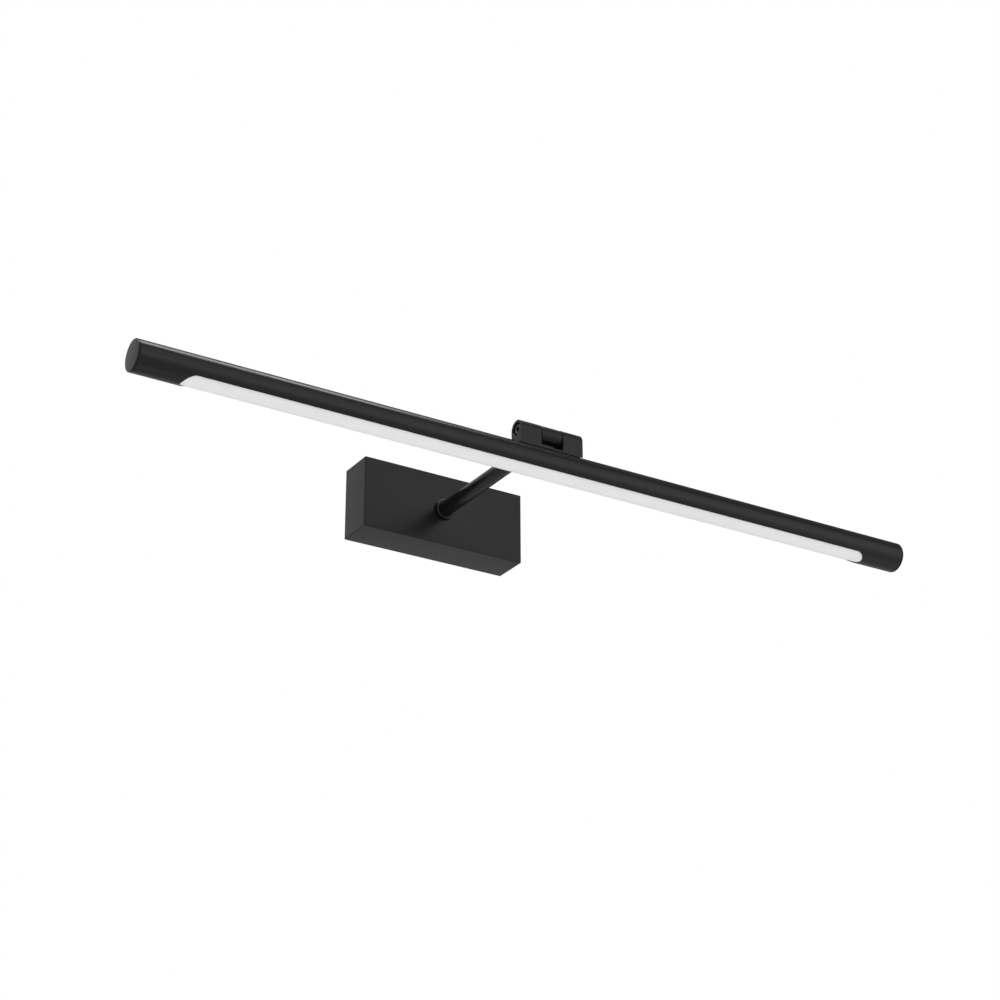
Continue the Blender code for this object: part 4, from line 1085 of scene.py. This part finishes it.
def make_lamp_tube(sizes):
    """Extruded tube with a long round-ended slot along its underside."""
    inner = TUBE_RADIUS - sizes.tube_wall
    span = TUBE_HIGH.x - TUBE_LOW.x
    outer = TUBE_RADIUS - CUT_EDGE
    profile = [(inner, 0.0), (inner, span), (outer, span), (TUBE_RADIUS, span - CUT_EDGE)]
    profile += [(TUBE_RADIUS, CUT_EDGE), (outer, 0.0)]
    bm = turned(profile, (TUBE_LOW.x, TUBE_CENTRE.y, TUBE_CENTRE.z), "+X", 160, ring=True)
    outline = stadium(slot_length(sizes), sizes.slot_width, (TUBE_CENTRE.x, TUBE_CENTRE.y), 40)
    slot = prism(outline, TUBE_LOW.z - THROUGH, TUBE_CENTRE.z, "Z")
    top = TUBE_HIGH.z - sizes.tube_wall - 2 * THROUGH
    cutters = [slot, rod(LEAD_HOLE, (LEAD_X, PIVOT.y, top), 4 * THROUGH, "+Z", 32)]
    for side in ("left", "right"):
        screw_x = middle(f"hinge_screw_{side}").x
        cutters.append(rod(SCREW_HOLE, (screw_x, PIVOT.y, top), 4 * THROUGH, "+Z", 32))
    bm = carved(bm, *cutters)
    place_piece("tube_extrusion", bm, "tube_black", "head", "lamp_tube")


def make_end_caps(sizes):
    """Turned caps with a crowned face and a soft rim, each on a hollow spigot inside the tube."""
    cup_wall, cup_floor = 1.2 * MM, 1.3 * MM
    spigot = TUBE_RADIUS - sizes.tube_wall - sizes.hole_room
    cup = spigot - cup_wall
    base = CAP_HIGH.x - CAP_LOW.x
    flange = base - sizes.cap_flange
    rim = base - sizes.cap_crown
    crown = [
        (TUBE_RADIUS * step / CROWN_STEPS, base - sizes.cap_crown * (step / CROWN_STEPS) ** 2, 0.0)
        for step in range(CROWN_STEPS)
    ]
    profile = rounded(
        [
            *crown,
            (TUBE_RADIUS, rim, sizes.cap_edge),
            (TUBE_RADIUS, flange, CUT_EDGE),
            (spigot, flange, 0.0),
            (spigot, 0.0, 0.3 * MM),
            (cup, 0.0, 0.2 * MM),
            (cup, flange - cup_floor, 0.4 * MM),
            (0.0, flange - cup_floor, 0.0),
        ]
    )
    for side, axis in (("left", "-X"), ("right", "+X")):
        node = f"end_cap_{side}"
        low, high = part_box(node)
        foot = {"left": high.x, "right": low.x}[side]
        bm = turned(profile, (foot, TUBE_CENTRE.y, TUBE_CENTRE.z), axis, 128)
        place_piece(f"cap_{side}_turned", bm, "tube_black", "head", node)


def make_diffuser(sizes):
    """Opal strip that fills the slot with a round face, and the flange that holds it in the tube."""
    room = 2 * sizes.lens_room
    middle_of_slot = (TUBE_CENTRE.x, TUBE_CENTRE.y)
    outline = stadium(slot_length(sizes) - room, sizes.slot_width - room, middle_of_slot, 40)
    flange_top = LENS_HIGH.z
    flange_bottom = flange_top - sizes.lens_flange
    strip = prism(outline, TUBE_LOW.z, (flange_bottom + flange_top) / 2, "Z")
    start = (CAP_HIGH.x, TUBE_CENTRE.y, TUBE_CENTRE.z)
    face = rod(TUBE_CENTRE.z - LENS_LOW.z, start, 2 * CAP_HIGH.x, "-X", 192)
    bm = combined(strip, [face], "INTERSECT")
    round_off(bm, lambda edge: sharp(edge, 40) and edge.verts[0].co.z < flange_bottom, sizes.lens_edge, 3)
    flange = mesh_box((LENS_LOW.x, LENS_LOW.y, flange_bottom), LENS_HIGH)
    round_off(flange, lambda edge: True, 0.1 * MM, 2)
    bm = joined(bm, flange)
    place_piece("opal_strip", bm, "opal", "head", "diffuser")


def keep_inner_parts():
    """Keeps the frame's own parts inside the base and the tube, with finishes and softened edges."""
    edges = {
        "driver_case": 0.6,
        "driver_lid": 0.4,
        "driver_board": 0.05,
        "driver_transformer": 0.4,
        "driver_capacitor": 0.4,
        "terminal_block": 0.3,
        "terminal_screw_1": 0.15,
        "terminal_screw_2": 0.15,
        "terminal_screw_3": 0.15,
        "earth_screw": 0.15,
        "arm_washer": 0.1,
        "arm_nut": 0.3,
        "pivot_bush": 0.15,
        "hinge_screw_left": 0.15,
        "hinge_screw_right": 0.15,
        "led_carrier": 0.1,
        "led_board": 0.05,
        "arm_lead": 0.0,
        "driver_input_lead": 0.0,
        "earth_lead": 0.0,
        "head_lead": 0.0,
    }
    for name, edge in edges.items():
        keep_node(name, frame_slot(name), edge * MM)


# ---- the studio ----

SENSOR_WIDTH = 36.0  # millimetres
PANEL_SIZE = (1.4, 1.4)
PANEL_DROP = 0.75  # where the panel hangs, as a share of the way down to the floor
STRIP_SIZE = (1.6, 0.5)
STRIP_AIM = Vector((-0.17, 0.03, 0.0))  # the point below the strip, from the lamp tube's middle
STRIP_HEIGHT = Vector((0.0, 0.0, 1.5))

# Directions, with the cosines of the turn from them where a change starts and where it is full
BEHIND = ((0.0, 1.0, 0.0), (-0.3, 0.5))

# Where the surround is dimmer or brighter: direction, cosines and gain
SKY_PATCHES = (
    ((0.62, 0.70, 0.38), (0.82, 0.99), 0.04),
    ((-0.22, 0.89, 0.38), (0.96, 1.00), 1.35),
    ((0.00, 0.00, -1.00), (0.33, 0.42), 0.82),
    ((0.00, -0.75, -0.66), (0.60, 0.90), 0.6),
    ((-0.785, -0.455, 0.42), (0.75, 0.97), 0.35),
    ((0.50, -0.08, 0.86), (0.78, 0.95), 0.22),
    ((0.45, -0.88, 0.10), (0.95, 1.00), 1.35),
)


def make_camera(studio):
    data = bpy.data.cameras.new("camera")
    data.lens = studio.focal_length
    data.sensor_width = SENSOR_WIDTH
    data.clip_start = 0.01
    data.clip_end = 50.0
    camera = bpy.data.objects.new("camera", data)
    bpy.context.scene.collection.objects.link(camera)
    turn = Matrix.Rotation(-studio.camera_yaw, 4, "Z")
    tilt = Matrix.Rotation(math.pi / 2 + studio.camera_pitch, 4, "X")
    roll = Matrix.Rotation(studio.camera_roll, 4, "Z")
    camera.matrix_world = Matrix.Translation(studio.camera_place) @ turn @ tilt @ roll
    bpy.context.scene.camera = camera


def sky_level(tree, place, aim, reach, start, end):
    """The sky's strength, from start to end as the direction turns towards an aim."""
    turn = add_node(tree, "ShaderNodeVectorMath", operation="DOT_PRODUCT")
    turn.inputs[1].default_value = Vector(aim).normalized()
    tree.links.new(place, turn.inputs[0])
    level = add_node(
        tree,
        "ShaderNodeMapRange",
        {"From Min": reach[0], "From Max": reach[1], "To Min": start, "To Max": end},
        interpolation_type="SMOOTHSTEP",
    )
    tree.links.new(turn.outputs["Value"], level.inputs["Value"])
    return level.outputs["Result"]


def make_sky(studio):
    """A white surround, brighter in front than behind, with dimmer and brighter patches."""
    world = bpy.data.worlds.new("white studio")
    bpy.context.scene.world = world
    world.use_nodes = True
    tree = world.node_tree
    tree.nodes.clear()
    place = add_node(tree, "ShaderNodeTexCoord").outputs["Generated"]
    level = sky_level(tree, place, *BEHIND, studio.front_light, studio.back_light)
    for aim, reach, gain in SKY_PATCHES:
        patch = sky_level(tree, place, aim, reach, 1.0, gain)
        product = add_node(tree, "ShaderNodeMath", operation="MULTIPLY")
        tree.links.new(level, product.inputs[0])
        tree.links.new(patch, product.inputs[1])
        level = product.outputs["Value"]
    lit = add_node(tree, "ShaderNodeBackground", {"Color": WHITE})
    tree.links.new(level, lit.inputs["Strength"])
    seen = add_node(tree, "ShaderNodeBackground", {"Color": WHITE, "Strength": 1.0})
    mix = add_node(tree, "ShaderNodeMixShader")
    ray = add_node(tree, "ShaderNodeLightPath")
    tree.links.new(ray.outputs["Is Camera Ray"], mix.inputs["Fac"])
    tree.links.new(lit.outputs["Background"], mix.inputs[1])
    tree.links.new(seen.outputs["Background"], mix.inputs[2])
    output = add_node(tree, "ShaderNodeOutputWorld")
    tree.links.new(mix.outputs["Shader"], output.inputs["Surface"])


def make_softbox(name, place, aim, size, power, mirrored):
    """A rectangular lamp that shows only in gloss if mirrored, and otherwise only lights."""
    data = bpy.data.lights.new(name, "AREA")
    data.shape = "RECTANGLE"
    data.size, data.size_y = size
    data.energy = power
    light = bpy.data.objects.new(name, data)
    light.location = place
    light.rotation_mode = "QUATERNION"
    light.rotation_quaternion = (Vector(aim) - Vector(place)).to_track_quat("-Z", "Y")
    light.visible_camera = False
    light.visible_glossy = mirrored
    light.visible_diffuse = not mirrored
    bpy.context.scene.collection.objects.link(light)


def make_floor(studio, tint):
    bm = bmesh.new()
    bmesh.ops.create_grid(bm, x_segments=8, y_segments=8, size=studio.floor_size / 2)
    bmesh.ops.translate(bm, vec=(0, 0, -studio.floor_drop), verts=bm.verts)
    floor = as_object(bm, "studio_floor")
    floor.data.materials.append(studio_floor("pale floor", tint, studio.floor_glow))
    floor.visible_glossy = False


def make_studio(studio, colours):
    bpy.context.scene.view_settings.view_transform = "Standard"
    make_camera(studio)
    make_sky(studio)
    under = (TUBE_CENTRE.x, TUBE_CENTRE.y, -PANEL_DROP * studio.floor_drop)
    make_softbox("under panel", under, TUBE_CENTRE, PANEL_SIZE, studio.panel_power, mirrored=False)
    aim = TUBE_CENTRE + STRIP_AIM
    over = aim + STRIP_HEIGHT
    make_softbox("overhead strip", over, aim, STRIP_SIZE, studio.strip_power, mirrored=True)
    make_floor(studio, colours.floor)


# ---- operators ----


class BuildBaseCover(bpy.types.Operator):
    """Build the base cover"""

    bl_idname = "picture_light.base_cover"
    bl_label = "Base cover"

    def execute(self, context):
        make_base_cover(context.scene.picture_light_sizes)
        return {"FINISHED"}


class BuildWallBracket(bpy.types.Operator):
    """Build the wall bracket"""

    bl_idname = "picture_light.wall_bracket"
    bl_label = "Wall bracket"

    def execute(self, context):
        make_wall_bracket(context.scene.picture_light_sizes)
        return {"FINISHED"}


class BuildCoverScrews(bpy.types.Operator):
    """Build the two cover screws"""

    bl_idname = "picture_light.cover_screws"
    bl_label = "Cover screws"

    def execute(self, context):
        make_cover_screws()
        return {"FINISHED"}


class BuildGrommet(bpy.types.Operator):
    """Build the cable grommet"""

    bl_idname = "picture_light.grommet"
    bl_label = "Cable grommet"

    def execute(self, context):
        make_grommet()
        return {"FINISHED"}


class BuildArm(bpy.types.Operator):
    """Build the arm and its collar"""

    bl_idname = "picture_light.arm"
    bl_label = "Arm and collar"

    def execute(self, context):
        make_arm(context.scene.picture_light_sizes)
        return {"FINISHED"}


class BuildKnuckle(bpy.types.Operator):
    """Build the hinge knuckle"""

    bl_idname = "picture_light.knuckle"
    bl_label = "Hinge knuckle"

    def execute(self, context):
        make_knuckle(context.scene.picture_light_sizes)
        return {"FINISHED"}


class BuildFork(bpy.types.Operator):
    """Build the hinge fork"""

    bl_idname = "picture_light.fork"
    bl_label = "Hinge fork"

    def execute(self, context):
        make_fork(context.scene.picture_light_sizes)
        return {"FINISHED"}


class BuildPivot(bpy.types.Operator):
    """Build the pivot screw, its cap and the drag washers"""

    bl_idname = "picture_light.pivot"
    bl_label = "Pivot"

    def execute(self, context):
        make_pivot_screw(context.scene.picture_light_sizes)
        make_pivot_cap()
        make_drag_washers(context.scene.picture_light_sizes)
        return {"FINISHED"}


class BuildLampTube(bpy.types.Operator):
    """Build the slotted lamp tube"""

    bl_idname = "picture_light.lamp_tube"
    bl_label = "Lamp tube"

    def execute(self, context):
        make_lamp_tube(context.scene.picture_light_sizes)
        return {"FINISHED"}


class BuildEndCaps(bpy.types.Operator):
    """Build the two end caps"""

    bl_idname = "picture_light.end_caps"
    bl_label = "End caps"

    def execute(self, context):
        make_end_caps(context.scene.picture_light_sizes)
        return {"FINISHED"}


class BuildDiffuser(bpy.types.Operator):
    """Build the opal diffuser"""

    bl_idname = "picture_light.diffuser"
    bl_label = "Diffuser"

    def execute(self, context):
        make_diffuser(context.scene.picture_light_sizes)
        return {"FINISHED"}


class FinishInnerParts(bpy.types.Operator):
    """Finish the parts inside the base and the tube"""

    bl_idname = "picture_light.inner_parts"
    bl_label = "Inner parts"

    def execute(self, context):
        keep_inner_parts()
        return {"FINISHED"}


class BuildStudio(bpy.types.Operator):
    """Build the camera, the light and the floor"""

    bl_idname = "picture_light.studio"
    bl_label = "Studio"

    def execute(self, context):
        make_studio(context.scene.picture_light_studio, context.scene.picture_light_finishes)
        return {"FINISHED"}


BUILDERS = (
    BuildStudio,
    BuildBaseCover,
    BuildWallBracket,
    BuildCoverScrews,
    BuildGrommet,
    BuildArm,
    BuildKnuckle,
    BuildFork,
    BuildPivot,
    BuildLampTube,
    BuildEndCaps,
    BuildDiffuser,
    FinishInnerParts,
)


class PictureLightPanel(bpy.types.Panel):
    """Lists the pieces, with the sizes and colours that they take"""

    bl_idname = "PICTURE_LIGHT_PT_pieces"
    bl_label = "Picture light"
    bl_space_type = "VIEW_3D"
    bl_region_type = "UI"
    bl_category = "Picture light"

    def draw(self, context):
        pieces = self.layout.column(align=True)
        for builder in BUILDERS:
            pieces.operator(builder.bl_idname)
        for title, group in (
            ("Sizes", context.scene.picture_light_sizes),
            ("Finishes", context.scene.picture_light_finishes),
            ("Studio", context.scene.picture_light_studio),
        ):
            box = self.layout.box()
            box.label(text=title)
            for name in group.__annotations__:
                box.prop(group, name)


GROUPS = {
    "picture_light_sizes": PictureLightSizes,
    "picture_light_finishes": PictureLightFinishes,
    "picture_light_studio": PictureLightStudio,
}
CLASSES = (*GROUPS.values(), *BUILDERS, PictureLightPanel)


def register():
    for item in CLASSES:
        bpy.utils.register_class(item)
    for name, group in GROUPS.items():
        setattr(bpy.types.Scene, name, PointerProperty(type=group))


def unregister():
    for name in GROUPS:
        delattr(bpy.types.Scene, name)
    for item in reversed(CLASSES):
        bpy.utils.unregister_class(item)


def main():
    register()
    for builder in BUILDERS:
        operator = getattr(bpy.ops.picture_light, builder.bl_idname.split(".")[1])
        operator()


if __name__ == "__main__":
    main()
